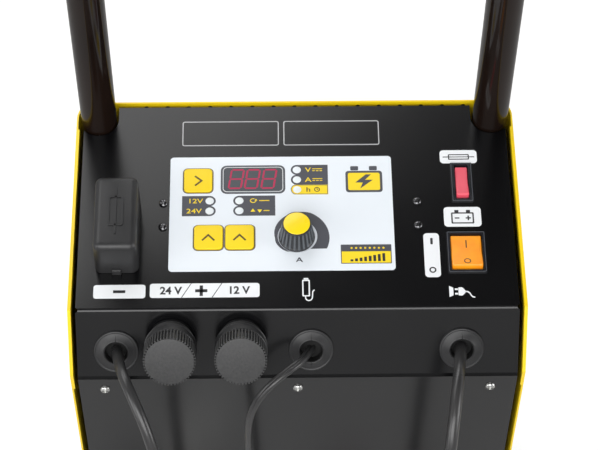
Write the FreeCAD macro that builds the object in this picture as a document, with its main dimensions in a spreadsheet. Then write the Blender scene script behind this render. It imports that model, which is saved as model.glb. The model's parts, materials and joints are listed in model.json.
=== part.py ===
import FreeCAD, Part
import math
import os
from types import SimpleNamespace

import Sketcher

# Wheeled charger and starter. X points right seen from the front, Y to the rear, Z up, and the floor is Z = 0.
# Sizes are in millimetres and degrees. Places on the panel count rearwards from its front fold, places on the
# connector face count down the face from the same fold.
SIZES = {
    "panel_height": 600,
    "panel_depth": 168,
    "panel_sheet": 1.5,
    "panel_flange": 12,
    "fold_radius": 3,
    "fold_relief": 1.6,
    "face_angle": 55,
    "face_length": 51,
    "front_lip": 26,
    "cover_width": 307,
    "panel_side_gap": 5,
    "cover_back": 172,
    "cover_wall": 1.2,
    "cover_rise": 3,
    "cover_corner": 15,
    "hem_extra": 1,
    "hem_height": 10,
    "hem_back": 147,
    "cabinet_bottom": 95,
    "tray_rim": 22,
    "tray_gap": 0.3,
    "vent_width": 3,
    "vent_pitch": 15,
    "vent_count": 16,
    "vent_length": 46,
    "vent_above_panel": 2,
    "tube_diameter": 25,
    "tube_wall": 1.6,
    "tube_side_gap": 3,
    "tube_back": 157.5,
    "tube_gap": 1.3,
    "handle_height": 950,
    "handle_bend": 55,
    "tube_below_axle": 16,
    "axle_diameter": 12,
    "axle_gap": 0.05,
    "wheel_diameter": 150,
    "wheel_gap": 3,
    "hub_radius": 15,
    "hub_width": 26,
    "rim_radius": 58,
    "rim_width": 21,
    "rim_wall": 4,
    "web_width": 5,
    "web_holes": 5,
    "web_hole_radius": 10,
    "tyre_width": 25,
    "tyre_shoulder": 6,
    "axle_cap_radius": 10,
    "axle_cap_width": 3.4,
    "foot_height": 14,
    "foot_radius": 14,
    "foot_spread": 104,
    "foot_back": 14,
    "bracket_strip": 3,
    "bracket_width": 34,
    "bracket_reach": 122,
    "overlay_left": 87,
    "overlay_right": 66.6,
    "overlay_front": 29.7,
    "overlay_rear": 124.1,
    "overlay_sheet": 0.5,
    "overlay_corner": 2.5,
    "piece_gap": 0.3,
    "display_x": -29.6,
    "display_y": 104.5,
    "display_length": 44.3,
    "display_width": 23.6,
    "display_depth": 9,
    "key_size": 19.4,
    "key_corner": 3,
    "key_rise": 2.4,
    "key_travel": 0.8,
    "key_stem": 3,
    "key_flange": 0.8,
    "select_x": -67.6,
    "select_y": 104,
    "left_key_x": -60.1,
    "right_key_x": -38.7,
    "lower_key_y": 56.7,
    "lamp_radius": 3.15,
    "lamp_rise": 1.6,
    "lamp_depth": 9,
    "lamp_pitch": 8.3,
    "lamp_low_y": 78.8,
    "lamp_a_x": -59.5,
    "lamp_b_x": -39.1,
    "lamp_c_x": 0.8,
    "lamp_c_y": 96.1,
    "board_length": 156,
    "board_width": 84,
    "board_sheet": 1.6,
    "board_drop": 17,
    "board_y": 77,
    "board_post": 3,
    "dial_x": 0,
    "dial_y": 56.4,
    "dial_skirt": 11.65,
    "dial_radius": 9.2,
    "dial_height": 17,
    "dial_ribs": 18,
    "shaft_radius": 3,
    "screw_left_x": -91.3,
    "screw_right_x": 83.3,
    "screw_rear_y": 85.7,
    "screw_front_y": 66,
    "screw_head": 2.75,
    "screw_shank": 1.9,
    "screw_length": 9,
    "front_screw_side": 22.5,
    "front_screw_drop": 13,
    "front_screw_head": 3.4,
    "fuse_side": 32,
    "fuse_y": 57.5,
    "fuse_length": 57,
    "fuse_width": 29,
    "fuse_height": 31,
    "fuse_wall": 2,
    "fuse_round": 3.5,
    "fuse_catch": 8,
    "fuse_stud": 3,
    "fuse_stud_gap": 30,
    "mains_side": 38.3,
    "mains_y": 43.6,
    "mains_length": 32.5,
    "mains_width": 25.1,
    "mains_rocker_length": 26.7,
    "mains_rocker_width": 20.8,
    "breaker_side": 38.5,
    "breaker_y": 101.3,
    "breaker_length": 32,
    "breaker_width": 13.8,
    "breaker_rocker_length": 25.9,
    "breaker_rocker_width": 8.6,
    "bezel_rise": 2.6,
    "switch_wall": 1,
    "rocker_tilt": 8,
    "grommet_down": 30,
    "grommet_flange": 14.9,
    "grommet_rise": 5.5,
    "grommet_neck": 10.8,
    "grommet_mouth": 7.7,
    "grommet_floor": 1,
    "negative_x": -121.9,
    "remote_x": 8.9,
    "mains_lead_x": 110.1,
    "terminal_high_x": -85,
    "terminal_low_x": -38,
    "terminal_down": 23.5,
    "terminal_base_radius": 15.5,
    "terminal_base_height": 3,
    "terminal_stud": 5,
    "terminal_neck": 8,
    "stud_reach": 26,
    "washer_height": 2,
    "knob_radius": 17.6,
    "knob_ring": 13,
    "knob_height": 27,
    "knob_ribs": 50,
    "knob_rib_depth": 0.7,
    "core_length": 126,
    "core_height": 104,
    "core_stack": 70,
    "core_leg": 21,
    "core_x": -52,
    "core_y": 58,
    "winding_bulge": 14,
    "sink_length": 96,
    "sink_depth": 90,
    "sink_height": 110,
    "sink_base": 6,
    "sink_fins": 9,
    "sink_fin": 2.2,
    "sink_x": 84,
    "sink_y": 36.75,
    "negative_diameter": 7.5,
    "remote_diameter": 5.5,
    "mains_diameter": 8,
    "turn_gap": 0.6,
    "clamp_length": 150,
    "clamp_spread": 27,
    "clamp_plate": 2.2,
    "clamp_pin_radius": 3,
    "handset_length": 104,
    "handset_width": 34,
    "handset_height": 24,
    "handset_corner": 8,
    "handset_relief": 14,
    "button_radius": 8,
    "button_travel": 3,
    "plug_length": 44,
    "plug_width": 27,
    "plug_relief": 30,
    "blade_length": 16,
    "blade_width": 6.4,
    "blade_sheet": 1.6,
    "blade_spacing": 12.7,
}


class Size:
    """A number together with the sheet formula that gives it, so that both follow the same arithmetic."""

    def __init__(self, number, formula):
        self.number = float(number)
        self.formula = formula

    def __add__(self, other):
        other = sized(other)
        return Size(self.number + other.number, f"({self.formula} + {other.formula})")

    def __sub__(self, other):
        other = sized(other)
        return Size(self.number - other.number, f"({self.formula} - {other.formula})")

    def __mul__(self, other):
        other = sized(other)
        return Size(self.number * other.number, f"({self.formula} * {other.formula})")

    def __truediv__(self, other):
        other = sized(other)
        return Size(self.number / other.number, f"({self.formula} / {other.formula})")

    def __neg__(self):
        return Size(-self.number, f"(0 - {self.formula})")

    def __radd__(self, other):
        return sized(other) + self

    def __rsub__(self, other):
        return sized(other) - self

    def __rmul__(self, other):
        return sized(other) * self

    def __float__(self):
        return self.number


def sized(value):
    return value if isinstance(value, Size) else Size(value, f"({value})")


def sine(angle):
    return Size(math.sin(math.radians(angle.number)), f"sin({angle.formula})")


def cosine(angle):
    return Size(math.cos(math.radians(angle.number)), f"cos({angle.formula})")


def tangent(angle):
    return Size(math.tan(math.radians(angle.number)), f"tan({angle.formula})")


doc = FreeCAD.newDocument("charger")
sheet = doc.addObject("Spreadsheet::Sheet", "Sizes")
for row, (alias, value) in enumerate(SIZES.items(), start=1):
    sheet.set(f"A{row}", alias)
    sheet.set(f"B{row}", str(value))
    sheet.setAlias(f"B{row}", alias)
doc.recompute()
s = SimpleNamespace(**{alias: Size(value, f"Sizes.{alias}") for alias, value in SIZES.items()})

X_AXIS = FreeCAD.Vector(1, 0, 0)
Y_AXIS = FreeCAD.Vector(0, 1, 0)
Z_AXIS = FreeCAD.Vector(0, 0, 1)
ZERO = Size(0, "0")

# The machine stands with the middle of its length, from the handset's end to the tyres' backs, over Y = 0.
HANDSET_START = -138.86
wheel_radius = s.wheel_diameter / 2
length_front = HANDSET_START - s.handset_length
length_back = s.tube_back + wheel_radius
fold_y = -(length_front + length_back) / 2
front_y = fold_y - s.face_length * cosine(s.face_angle)
tube_y = fold_y + s.tube_back
tube_radius = s.tube_diameter / 2
cover_half = s.cover_width / 2
cover_inside = cover_half - s.cover_wall
panel_width = s.cover_width - 2 * s.panel_side_gap
tube_x = cover_half - s.tube_side_gap - tube_radius
fuse_x = s.fuse_side - cover_half
mains_x = cover_half - s.mains_side
breaker_x = cover_half - s.breaker_side
front_screw_x = cover_half - s.front_screw_side

nodes = []
pockets = []


def bind(thing, prop, value):
    """Ties one property of an object to the sheet."""
    thing.setExpression(prop, sized(value).formula)


def place(thing, x=ZERO, y=ZERO, z=ZERO, axis=None, angle=None):
    """Puts an object at a place of the sheet's, turned about an axis if one is given."""
    if axis is not None:
        thing.Placement = FreeCAD.Placement(FreeCAD.Vector(0, 0, 0), FreeCAD.Rotation(axis, sized(angle).number))
        bind(thing, "Placement.Rotation.Angle", angle)
    for letter, value in (("x", x), ("y", y), ("z", z)):
        bind(thing, f"Placement.Base.{letter}", value)
    return thing


def on_panel(thing, x, back, lift=ZERO):
    """Stands a piece on the top panel, counted rearwards from the fold."""
    return place(thing, x, fold_y + back, s.panel_height + lift)


def on_face(thing, x, down, lift=ZERO):
    """Stands a piece on the connector face, turned square to it."""
    y = fold_y - down * cosine(s.face_angle) - lift * sine(s.face_angle)
    z = s.panel_height - down * sine(s.face_angle) + lift * cosine(s.face_angle)
    return place(thing, x, y, z, X_AXIS, s.face_angle)


def node(name, thing):
    """Names a finished sub-part."""
    thing.Label = name
    nodes.append(thing)
    return thing


def cylinder(name, radius, length, x=ZERO, y=ZERO, z=ZERO, axis=None, angle=ZERO):
    thing = doc.addObject("Part::Cylinder", name)
    bind(thing, "Radius", radius)
    bind(thing, "Height", length)
    return place(thing, x, y, z, axis, angle)


def block(name, length, width, depth, x=ZERO, y=ZERO, z=ZERO):
    """A box centred on X and Y that stands on Z."""
    thing = doc.addObject("Part::Box", name)
    bind(thing, "Length", length)
    bind(thing, "Width", width)
    bind(thing, "Height", depth)
    return place(thing, x - length / 2, y - width / 2, z)


def joined(name, things):
    thing = doc.addObject("Part::MultiFuse", name)
    thing.Shapes = things
    thing.Refine = True
    return thing


def cut(name, base, tools):
    thing = doc.addObject("Part::Cut", name)
    thing.Base = base
    thing.Tool = tools[0] if len(tools) == 1 else joined(f"{name}_tools", tools)
    return thing


def several(name, things):
    """One node of separate like pieces."""
    thing = doc.addObject("Part::Compound", name)
    thing.Links = things
    return thing


def body(name):
    return doc.addObject("PartDesign::Body", name)


def plane_of(owner, role):
    return next(feature for feature in owner.Origin.OriginFeatures if feature.Role == role)


def draw_line(sketch, points, closed=True):
    """Draws one line; a third value in a point is the radius of the arc to the next, negative clockwise."""
    first = len(sketch.Geometry)
    starts, ends = [], []
    count = len(points) if closed else len(points) - 1
    for index in range(count):
        point, following = points[index], points[(index + 1) % len(points)]
        here = FreeCAD.Vector(float(sized(point[0])), float(sized(point[1])), 0)
        there = FreeCAD.Vector(float(sized(following[0])), float(sized(following[1])), 0)
        if len(point) == 2:
            sketch.addGeometry(Part.LineSegment(here, there))
            starts.append(1)
            ends.append(2)
            continue
        radius = abs(float(sized(point[2])))
        left = point[2].number > 0
        chord = there - here
        square = FreeCAD.Vector(-chord.y, chord.x, 0).normalize() * (1 if left else -1)
        centre = (here + there) / 2 + square * math.sqrt(max(radius ** 2 - chord.Length ** 2 / 4, 0))
        begin, finish = (here, there) if left else (there, here)
        angles = [math.atan2(end.y - centre.y, end.x - centre.x) for end in (begin, finish)]
        sketch.addGeometry(Part.ArcOfCircle(Part.Circle(centre, Z_AXIS, radius), *angles))
        starts.append(1 if left else 2)
        ends.append(2 if left else 1)
    for index in range(count if closed else count - 1):
        other = (index + 1) % count
        sketch.addConstraint(Sketcher.Constraint(
            "Coincident", first + index, ends[index], first + other, starts[other]))
    for index, point in enumerate(points):
        stretch, corner = (index, starts[index]) if index < count else (count - 1, ends[-1])
        for kind, value in (("DistanceX", point[0]), ("DistanceY", point[1])):
            value = sized(value)
            number = sketch.addConstraint(Sketcher.Constraint(
                kind, -1, 1, first + stretch, corner, value.number))
            sketch.setExpression(f"Constraints[{number}]", value.formula)
        if len(point) == 3:
            radius = point[2] if point[2].number > 0 else -point[2]
            number = sketch.addConstraint(Sketcher.Constraint("Radius", first + index, radius.number))
            sketch.setExpression(f"Constraints[{number}]", radius.formula)


def draw_circle(sketch, x, y, radius):
    x, y, radius = sized(x), sized(y), sized(radius)
    index = sketch.addGeometry(Part.Circle(FreeCAD.Vector(x.number, y.number, 0), Z_AXIS, radius.number))
    for kind, value in (("DistanceX", x), ("DistanceY", y)):
        number = sketch.addConstraint(Sketcher.Constraint(kind, -1, 1, index, 3, value.number))
        sketch.setExpression(f"Constraints[{number}]", value.formula)
    number = sketch.addConstraint(Sketcher.Constraint("Radius", index, radius.number))
    sketch.setExpression(f"Constraints[{number}]", radius.formula)


def drawing(owner, role, loops=(), circles=(), offset=None):
    """A sketch on one of the body's own planes; offset moves it along the plane's normal."""
    sketch = owner.newObject("Sketcher::SketchObject", f"{owner.Name}_sketch")
    sketch.AttachmentSupport = (plane_of(owner, role), [""])
    sketch.MapMode = "FlatFace"
    if offset is not None:
        bind(sketch, "AttachmentOffset.Base.z", offset)
    for loop in loops:
        draw_line(sketch, loop)
    for circle in circles:
        draw_circle(sketch, *circle)
    return sketch


def pad(owner, sketch, length, both_ways=False, backwards=False):
    feature = owner.newObject("PartDesign::Pad", f"{owner.Name}_pad")
    feature.Profile = sketch
    feature.SideType = "Symmetric" if both_ways else "One side"
    feature.Reversed = backwards
    bind(feature, "Length", length)
    return feature


def pocket(owner, sketch, depth=None, backwards=False):
    """Cuts to a depth, or right through both ways where none is given."""
    feature = owner.newObject("PartDesign::Pocket", f"{owner.Name}_pocket")
    feature.Profile = sketch
    if depth is None:
        feature.Type = "ThroughAll"
        feature.SideType = "Symmetric"
    else:
        feature.Reversed = backwards
        bind(feature, "Length", depth)
    pockets.append(feature)
    return feature


def revolved(owner, points):
    """Turns a half section, drawn in radius and height, about the body's Z axis."""
    sketch = drawing(owner, "XZ_Plane", [points])
    feature = owner.newObject("PartDesign::Revolution", f"{owner.Name}_turned")
    feature.Profile = sketch
    feature.ReferenceAxis = (sketch, ["V_Axis"])
    feature.Angle = 360
    return feature


def around(owner, feature, sketch, count):
    pattern = owner.newObject("PartDesign::PolarPattern", f"{owner.Name}_ring")
    pattern.Originals = [feature]
    pattern.Axis = (sketch, ["N_Axis"])
    pattern.Angle = 360
    bind(pattern, "Occurrences", count)
    owner.Tip = pattern
    return pattern


def in_row(owner, feature, sketch, count, length):
    pattern = owner.newObject("PartDesign::LinearPattern", f"{owner.Name}_row")
    pattern.Originals = [feature]
    pattern.Direction = (sketch, ["H_Axis"])
    bind(pattern, "Length", length)
    bind(pattern, "Occurrences", count)
    owner.Tip = pattern
    return pattern


def mirrored(owner, feature):
    pattern = owner.newObject("PartDesign::Mirrored", f"{owner.Name}_mirror")
    pattern.Originals = [feature]
    pattern.MirrorPlane = (plane_of(owner, "YZ_Plane"), [""])
    owner.Tip = pattern
    return pattern


def soften_top(owner, feature, radius):
    """Rounds the edges of a pad's top face."""
    doc.recompute()
    faces = feature.Shape.Faces
    highest = max(range(len(faces)), key=lambda number: faces[number].CenterOfMass.z)
    fillet = owner.newObject("PartDesign::Fillet", f"{owner.Name}_soft_edges")
    fillet.Base = (feature, [f"Face{highest + 1}"])
    bind(fillet, "Radius", radius)
    return fillet


def rectangle(length, width, x=ZERO, y=ZERO):
    half, side = sized(length) / 2, sized(width) / 2
    x, y = sized(x), sized(y)
    return [(x - half, y - side), (x + half, y - side), (x + half, y + side), (x - half, y + side)]


def rounded(length, width, corner, x=ZERO, y=ZERO):
    """A rectangle with round corners, anticlockwise."""
    half, side = sized(length) / 2, sized(width) / 2
    x, y = sized(x), sized(y)
    inner_half, inner_side = half - corner, side - corner
    return [
        (x - inner_half, y - side), (x + inner_half, y - side, corner),
        (x + half, y - inner_side), (x + half, y + inner_side, corner),
        (x + inner_half, y + side), (x - inner_half, y + side, corner),
        (x - half, y + inner_side), (x - half, y - inner_side, corner),
    ]


def rear_cover():
    """Yellow sheet wrapped round both sides and the rear, hemmed along its upper edges, vented at the rear."""
    owner = body("rear_cover")
    back = s.cover_back
    front = front_y - fold_y
    corner = s.cover_corner
    inside_corner = corner - s.cover_wall
    rim_top = s.panel_height + s.cover_rise
    knee = s.cover_rise * tangent(s.face_angle / 2)
    front_edge = s.cover_rise / cosine(s.face_angle) - s.face_length * sine(s.face_angle)
    ring = [
        (-cover_half, front), (-cover_inside, front), (-cover_inside, back - corner, -inside_corner),
        (corner - cover_half, back - s.cover_wall), (cover_half - corner, back - s.cover_wall, -inside_corner),
        (cover_inside, back - corner), (cover_inside, front), (cover_half, front),
        (cover_half, back - corner, corner), (cover_half - corner, back),
        (corner - cover_half, back, corner), (-cover_half, back - corner),
    ]
    pad(owner, drawing(owner, "XY_Plane", [ring], offset=s.cabinet_bottom - s.panel_height),
        rim_top - s.cabinet_bottom)
    margin = sized(20)
    notch = [
        (-knee, s.cover_rise), (front, front_edge), (front - margin, front_edge),
        (front - margin, s.cover_rise + margin), (-knee, s.cover_rise + margin),
    ]
    pocket(owner, drawing(owner, "YZ_Plane", [notch]))
    hem_knee = (s.hem_height - s.cover_rise) * tangent(s.face_angle / 2)
    hem = [
        (s.hem_back, s.cover_rise), (-knee, s.cover_rise), (front, front_edge),
        (front, front_edge - s.hem_height / cosine(s.face_angle)),
        (hem_knee, s.cover_rise - s.hem_height), (s.hem_back, s.cover_rise - s.hem_height),
    ]
    sketch = drawing(owner, "YZ_Plane", [hem], offset=cover_inside - s.hem_extra)
    mirrored(owner, pad(owner, sketch, s.hem_extra))
    first = -(s.vent_count - 1) * s.vent_pitch / 2
    half = s.vent_width / 2
    low = s.vent_above_panel - s.vent_length
    slot = [
        (first - half, low + half, half), (first, low, half), (first + half, low + half),
        (first + half, s.vent_above_panel - half, half), (first, s.vent_above_panel, half),
        (first - half, s.vent_above_panel - half),
    ]
    sketch = drawing(owner, "XZ_Plane", [slot])
    in_row(owner, pocket(owner, sketch), sketch, s.vent_count, (s.vent_count - 1) * s.vent_pitch)
    node("rear_cover", place(owner, ZERO, fold_y, s.panel_height))


def tube_notch(side, radius, back):
    """A notch round one handle tube, open to the rear."""
    x = side * tube_x
    return [
        (x - radius, back), (x - radius, s.tube_back, radius), (x, s.tube_back - radius, radius),
        (x + radius, s.tube_back), (x + radius, back),
    ]


def top_panel():
    """Black sheet bent once at the front fold and again behind the front panel, with all its openings."""
    owner = body("panel_sheet")
    angle = s.face_angle
    set_back = s.fold_radius * tangent(angle / 2)
    inner_radius = s.fold_radius - s.panel_sheet
    lip = front_y - fold_y + s.panel_sheet
    lip_top = lip * tangent(angle)
    inner_drop = s.panel_sheet / cosine(angle)
    lip_inside = lip + s.panel_sheet
    profile = [
        (s.panel_depth, ZERO), (set_back, ZERO, s.fold_radius),
        (-set_back * cosine(angle), -set_back * sine(angle)), (lip, lip_top),
        (lip, lip_top - s.front_lip), (lip_inside, lip_top - s.front_lip),
        (lip_inside, lip_inside * tangent(angle) - inner_drop),
        (s.panel_sheet * sine(angle) - set_back * cosine(angle),
         -set_back * sine(angle) - s.panel_sheet * cosine(angle), -inner_radius),
        (set_back, -s.panel_sheet), (s.panel_depth, -s.panel_sheet),
    ]
    pad(owner, drawing(owner, "YZ_Plane", [profile]), panel_width, both_ways=True)
    flange_back = s.tube_back - tube_radius - 3 * s.tube_gap
    flange = [
        (s.panel_flange, -s.panel_sheet), (s.panel_flange, -s.panel_flange),
        (flange_back, -s.panel_flange), (flange_back, -s.panel_sheet),
    ]
    sketch = drawing(owner, "YZ_Plane", [flange], offset=panel_width / 2 - s.panel_sheet)
    mirrored(owner, pad(owner, sketch, s.panel_sheet))
    gap = 2 * s.piece_gap
    loops = [tube_notch(side, tube_radius + s.tube_gap, s.panel_depth + s.panel_flange) for side in (-1, 1)]
    loops.append(rectangle(s.display_length + gap, s.display_width + gap, s.display_x, s.display_y))
    for x, y in ((s.select_x, s.select_y), (s.left_key_x, s.lower_key_y), (s.right_key_x, s.lower_key_y)):
        loops.append(rounded(s.key_size + gap, s.key_size + gap, s.key_corner + s.piece_gap, x, y))
    for x, y, length, width in (
            (mains_x, s.mains_y, s.mains_rocker_length, s.mains_rocker_width),
            (breaker_x, s.breaker_y, s.breaker_rocker_length, s.breaker_rocker_width)):
        loops.append(rectangle(housing_size(width) + gap, housing_size(length) + gap, x, y))
    circles = [(x, y, s.lamp_radius + s.piece_gap) for x, y in lamp_places()]
    circles.append((s.dial_x, s.dial_y, s.shaft_radius + s.piece_gap))
    circles += [(x, y, s.screw_shank + s.piece_gap / 2) for x, y in panel_screw_places()]
    pocket(owner, drawing(owner, "XY_Plane", loops, circles))
    place(owner, ZERO, fold_y, s.panel_height)
    tools = []
    depth = 4 * s.panel_sheet
    for name, x in leads():
        tools.append(on_face(cylinder(f"{name}_opening", s.grommet_neck + s.piece_gap / 3, depth),
                             x, s.grommet_down, -depth / 2))
    for name, x in terminals():
        tools.append(on_face(cylinder(f"{name}_opening", s.terminal_neck + s.piece_gap / 3, depth),
                             x, s.terminal_down, -depth / 2))
    for side in (-1, 0, 1):
        tools.append(cylinder(f"lip_hole_{side + 1}", s.screw_shank + s.piece_gap / 2, depth,
                              side * front_screw_x, front_y + depth, front_screw_z(), X_AXIS, sized(90)))
    half_angle = angle / 2
    for side in (-1, 1):
        tools.append(place(cylinder(f"fold_relief_{side + 1}", s.fold_relief, depth), side * panel_width / 2,
                           fold_y + depth / 2 * sine(half_angle), s.panel_height - depth / 2 * cosine(half_angle),
                           X_AXIS, half_angle))
    node("top_panel", cut("top_panel", owner, tools))


def leads():
    return (("negative", s.negative_x), ("remote", s.remote_x), ("mains", s.mains_lead_x))


def terminals():
    return (("24v", s.terminal_high_x), ("12v", s.terminal_low_x))


def panel_screw_places():
    return [(x, y) for x in (s.screw_left_x, s.screw_right_x) for y in (s.screw_rear_y, s.screw_front_y)]


def front_screw_z():
    return s.panel_height - s.face_length * sine(s.face_angle) - s.front_screw_drop


def lamp_places():
    """Two lamps beside each side key, then three by the display."""
    places = []
    for x, y, count in ((s.lamp_a_x, s.lamp_low_y, 2), (s.lamp_b_x, s.lamp_low_y, 2), (s.lamp_c_x, s.lamp_c_y, 3)):
        places += [(x, y + step * s.lamp_pitch) for step in range(count)]
    return places


def front_panel():
    """Lower front sheet with side returns, screwed to the lip of the top panel."""
    owner = body("front_panel")
    half, sheet_, reach = panel_width / 2, s.panel_sheet, s.panel_flange
    ring = [
        (-half, ZERO), (half, ZERO), (half, reach), (half - sheet_, reach), (half - sheet_, sheet_),
        (sheet_ - half, sheet_), (sheet_ - half, reach), (-half, reach),
    ]
    top = s.panel_height - s.face_length * sine(s.face_angle)
    pad(owner, drawing(owner, "XY_Plane", [ring]), top - s.cabinet_bottom)
    holes = [(side * front_screw_x, front_screw_z() - s.cabinet_bottom, s.screw_shank + s.piece_gap / 2)
             for side in (-1, 0, 1)]
    pocket(owner, drawing(owner, "XZ_Plane", circles=holes))
    tall = top - s.cabinet_bottom
    lip_space = [(sheet_, tall - s.front_lip), (2 * reach, tall - s.front_lip), (2 * reach, tall + reach),
                 (sheet_, tall + reach)]
    pocket(owner, drawing(owner, "YZ_Plane", [lip_space]))
    node("front_panel", place(owner, ZERO, front_y, s.cabinet_bottom))


def base_tray():
    """Floor sheet of the cabinet with upturned rims, notched round the handle tubes."""
    owner = body("base_tray")
    half = cover_inside - s.tray_gap
    back = s.cover_back - s.cover_wall - s.tray_gap
    front = front_y - fold_y + s.panel_sheet
    middle_x = ZERO
    floor = rectangle(2 * half, back - front, middle_x, (back + front) / 2)
    pad(owner, drawing(owner, "XY_Plane", [floor]), s.panel_sheet)
    rim_length = s.tube_back - tube_radius - 3 * s.tube_gap - front - s.panel_flange
    rim_middle = front + s.panel_flange + rim_length / 2
    side_rim = rectangle(s.panel_sheet, rim_length, half - s.panel_sheet / 2, rim_middle)
    mirrored(owner, pad(owner, drawing(owner, "XY_Plane", [side_rim]), s.tray_rim))
    rear_rim = rectangle(2 * (tube_x - tube_radius - 3 * s.tube_gap), s.panel_sheet, middle_x, back - s.panel_sheet / 2)
    front_rim = rectangle(panel_width - 4 * s.panel_flange, s.panel_sheet, middle_x, front + s.panel_sheet / 2)
    pad(owner, drawing(owner, "XY_Plane", [rear_rim, front_rim]), s.tray_rim)
    notches = [tube_notch(side, tube_radius + s.tray_gap, s.cover_back + s.panel_flange) for side in (-1, 1)]
    pocket(owner, drawing(owner, "XY_Plane", notches))
    return_depth = s.panel_flange + s.piece_gap
    return_x = (panel_width / 2 - s.panel_sheet - s.piece_gap + half + s.tray_rim) / 2
    return_width = half + s.tray_rim - (panel_width / 2 - s.panel_sheet - s.piece_gap)
    corners = []
    for side in (-1, 1):
        corners.append(rectangle(return_width, 2 * return_depth, side * return_x, front - s.panel_sheet))
        corners.append(rectangle(return_width, 2 * s.panel_flange, side * return_x, s.tube_back + s.panel_flange))
    pocket(owner, drawing(owner, "XY_Plane", corners))
    node("base_tray", place(owner, ZERO, fold_y, s.cabinet_bottom))


def handle_frame():
    """One steel tube bent into a tall U, drilled for the axle at its lower ends."""
    owner = body("handle_tube")
    low = wheel_radius - s.tube_below_axle
    top = s.handle_height - tube_radius
    bend = s.handle_bend
    path = owner.newObject("Sketcher::SketchObject", "handle_path")
    path.AttachmentSupport = (plane_of(owner, "XZ_Plane"), [""])
    path.MapMode = "FlatFace"
    draw_line(path, [
        (-tube_x, low), (-tube_x, top - bend, -bend), (bend - tube_x, top),
        (tube_x - bend, top, -bend), (tube_x, top - bend), (tube_x, low),
    ], closed=False)
    ring = drawing(owner, "XY_Plane", circles=[
        (-tube_x, ZERO, tube_radius), (-tube_x, ZERO, tube_radius - s.tube_wall)], offset=low)
    pipe = owner.newObject("PartDesign::AdditivePipe", "handle_pipe")
    pipe.Profile = ring
    pipe.Spine = path
    place(owner, ZERO, tube_y, ZERO)
    hole = cylinder("axle_hole", s.axle_diameter / 2 + s.axle_gap, s.cover_width,
                    -cover_half, tube_y, wheel_radius, Y_AXIS, sized(90))
    node("handle_frame", cut("handle_frame", owner, [hole]))


def wheels():
    """Axle through the tube ends, two moulded wheels with rubber tyres, and push-on caps."""
    axle_half = cover_half + s.wheel_gap + s.hub_width + s.axle_cap_width
    axle = cylinder("wheel_axle", s.axle_diameter / 2, 2 * axle_half - s.bracket_strip,
                    s.bracket_strip / 2 - axle_half, tube_y, wheel_radius, Y_AXIS, sized(90))
    node("wheel_axle", axle)
    caps = []
    for side in (-1, 1):
        name = "left" if side < 0 else "right"
        middle = side * (cover_half + s.wheel_gap + s.hub_width / 2)
        bore = s.axle_diameter / 2 + s.axle_gap
        half_hub, half_rim, half_web = s.hub_width / 2, s.rim_width / 2, s.web_width / 2
        owner = body(f"wheel_{name}")
        revolved(owner, [
            (bore, -half_hub), (s.hub_radius, -half_hub), (s.hub_radius, -half_web),
            (s.rim_radius - s.rim_wall, -half_web), (s.rim_radius - s.rim_wall, -half_rim),
            (s.rim_radius, -half_rim), (s.rim_radius, half_rim), (s.rim_radius - s.rim_wall, half_rim),
            (s.rim_radius - s.rim_wall, half_web), (s.hub_radius, half_web), (s.hub_radius, half_hub),
            (bore, half_hub),
        ])
        ring = (s.hub_radius + s.rim_radius - s.rim_wall) / 2
        sketch = drawing(owner, "XY_Plane", circles=[(ring, ZERO, s.web_hole_radius)])
        around(owner, pocket(owner, sketch), sketch, s.web_holes)
        node(f"wheel_{name}", place(owner, middle, tube_y, wheel_radius, Y_AXIS, sized(90)))
        tyre = body(f"tyre_{name}")
        half_tyre, shoulder = s.tyre_width / 2, s.tyre_shoulder
        revolved(tyre, [
            (s.rim_radius, -half_rim), (wheel_radius - shoulder, -half_tyre, shoulder),
            (wheel_radius, shoulder - half_tyre), (wheel_radius, half_tyre - shoulder, shoulder),
            (wheel_radius - shoulder, half_tyre), (s.rim_radius, half_rim),
        ])
        node(f"tyre_{name}", place(tyre, middle, tube_y, wheel_radius, Y_AXIS, sized(90)))
        cap = body(f"axle_cap_{name}")
        thick, recess = s.axle_cap_width, s.axle_cap_width - s.bracket_strip / 2
        revolved(cap, [
            (ZERO, recess), (s.axle_diameter / 2, recess), (s.axle_diameter / 2, s.piece_gap),
            (s.axle_cap_radius, s.piece_gap), (s.axle_cap_radius, thick - 1), (s.axle_cap_radius - 1, thick + s.piece_gap),
            (ZERO, thick + s.piece_gap),
        ])
        outer = side * (cover_half + s.wheel_gap + s.hub_width)
        caps.append(place(cap, outer, tube_y, wheel_radius, Y_AXIS, sized(90 * side)))
    node("axle_caps", several("axle_caps", caps))


def front_foot():
    """Bent strip under the front of the tray that carries two rubber feet."""
    owner = body("foot_bracket")
    reach, strip, low = s.bracket_reach, s.bracket_strip, s.foot_height
    turned_in = 2 * (s.bracket_reach - s.foot_spread)
    top = s.cabinet_bottom
    ring = [
        (-reach, low), (turned_in - reach, low), (turned_in - reach, low + strip), (strip - reach, low + strip),
        (strip - reach, top - strip), (reach - strip, top - strip), (reach - strip, low + strip),
        (reach - turned_in, low + strip), (reach - turned_in, low), (reach, low), (reach, top), (-reach, top),
    ]
    pad(owner, drawing(owner, "XZ_Plane", [ring]), s.bracket_width, both_ways=True)
    node("foot_bracket", place(owner, ZERO, fold_y + s.foot_back, ZERO))
    feet = []
    for side in (-1, 1):
        foot = body(f"foot_{side + 1}")
        revolved(foot, [
            (ZERO, ZERO), (s.foot_radius - 2, ZERO), (s.foot_radius, s.foot_height), (ZERO, s.foot_height)])
        feet.append(place(foot, side * s.foot_spread, fold_y + s.foot_back, ZERO))
    node("front_feet", several("front_feet", feet))


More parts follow.
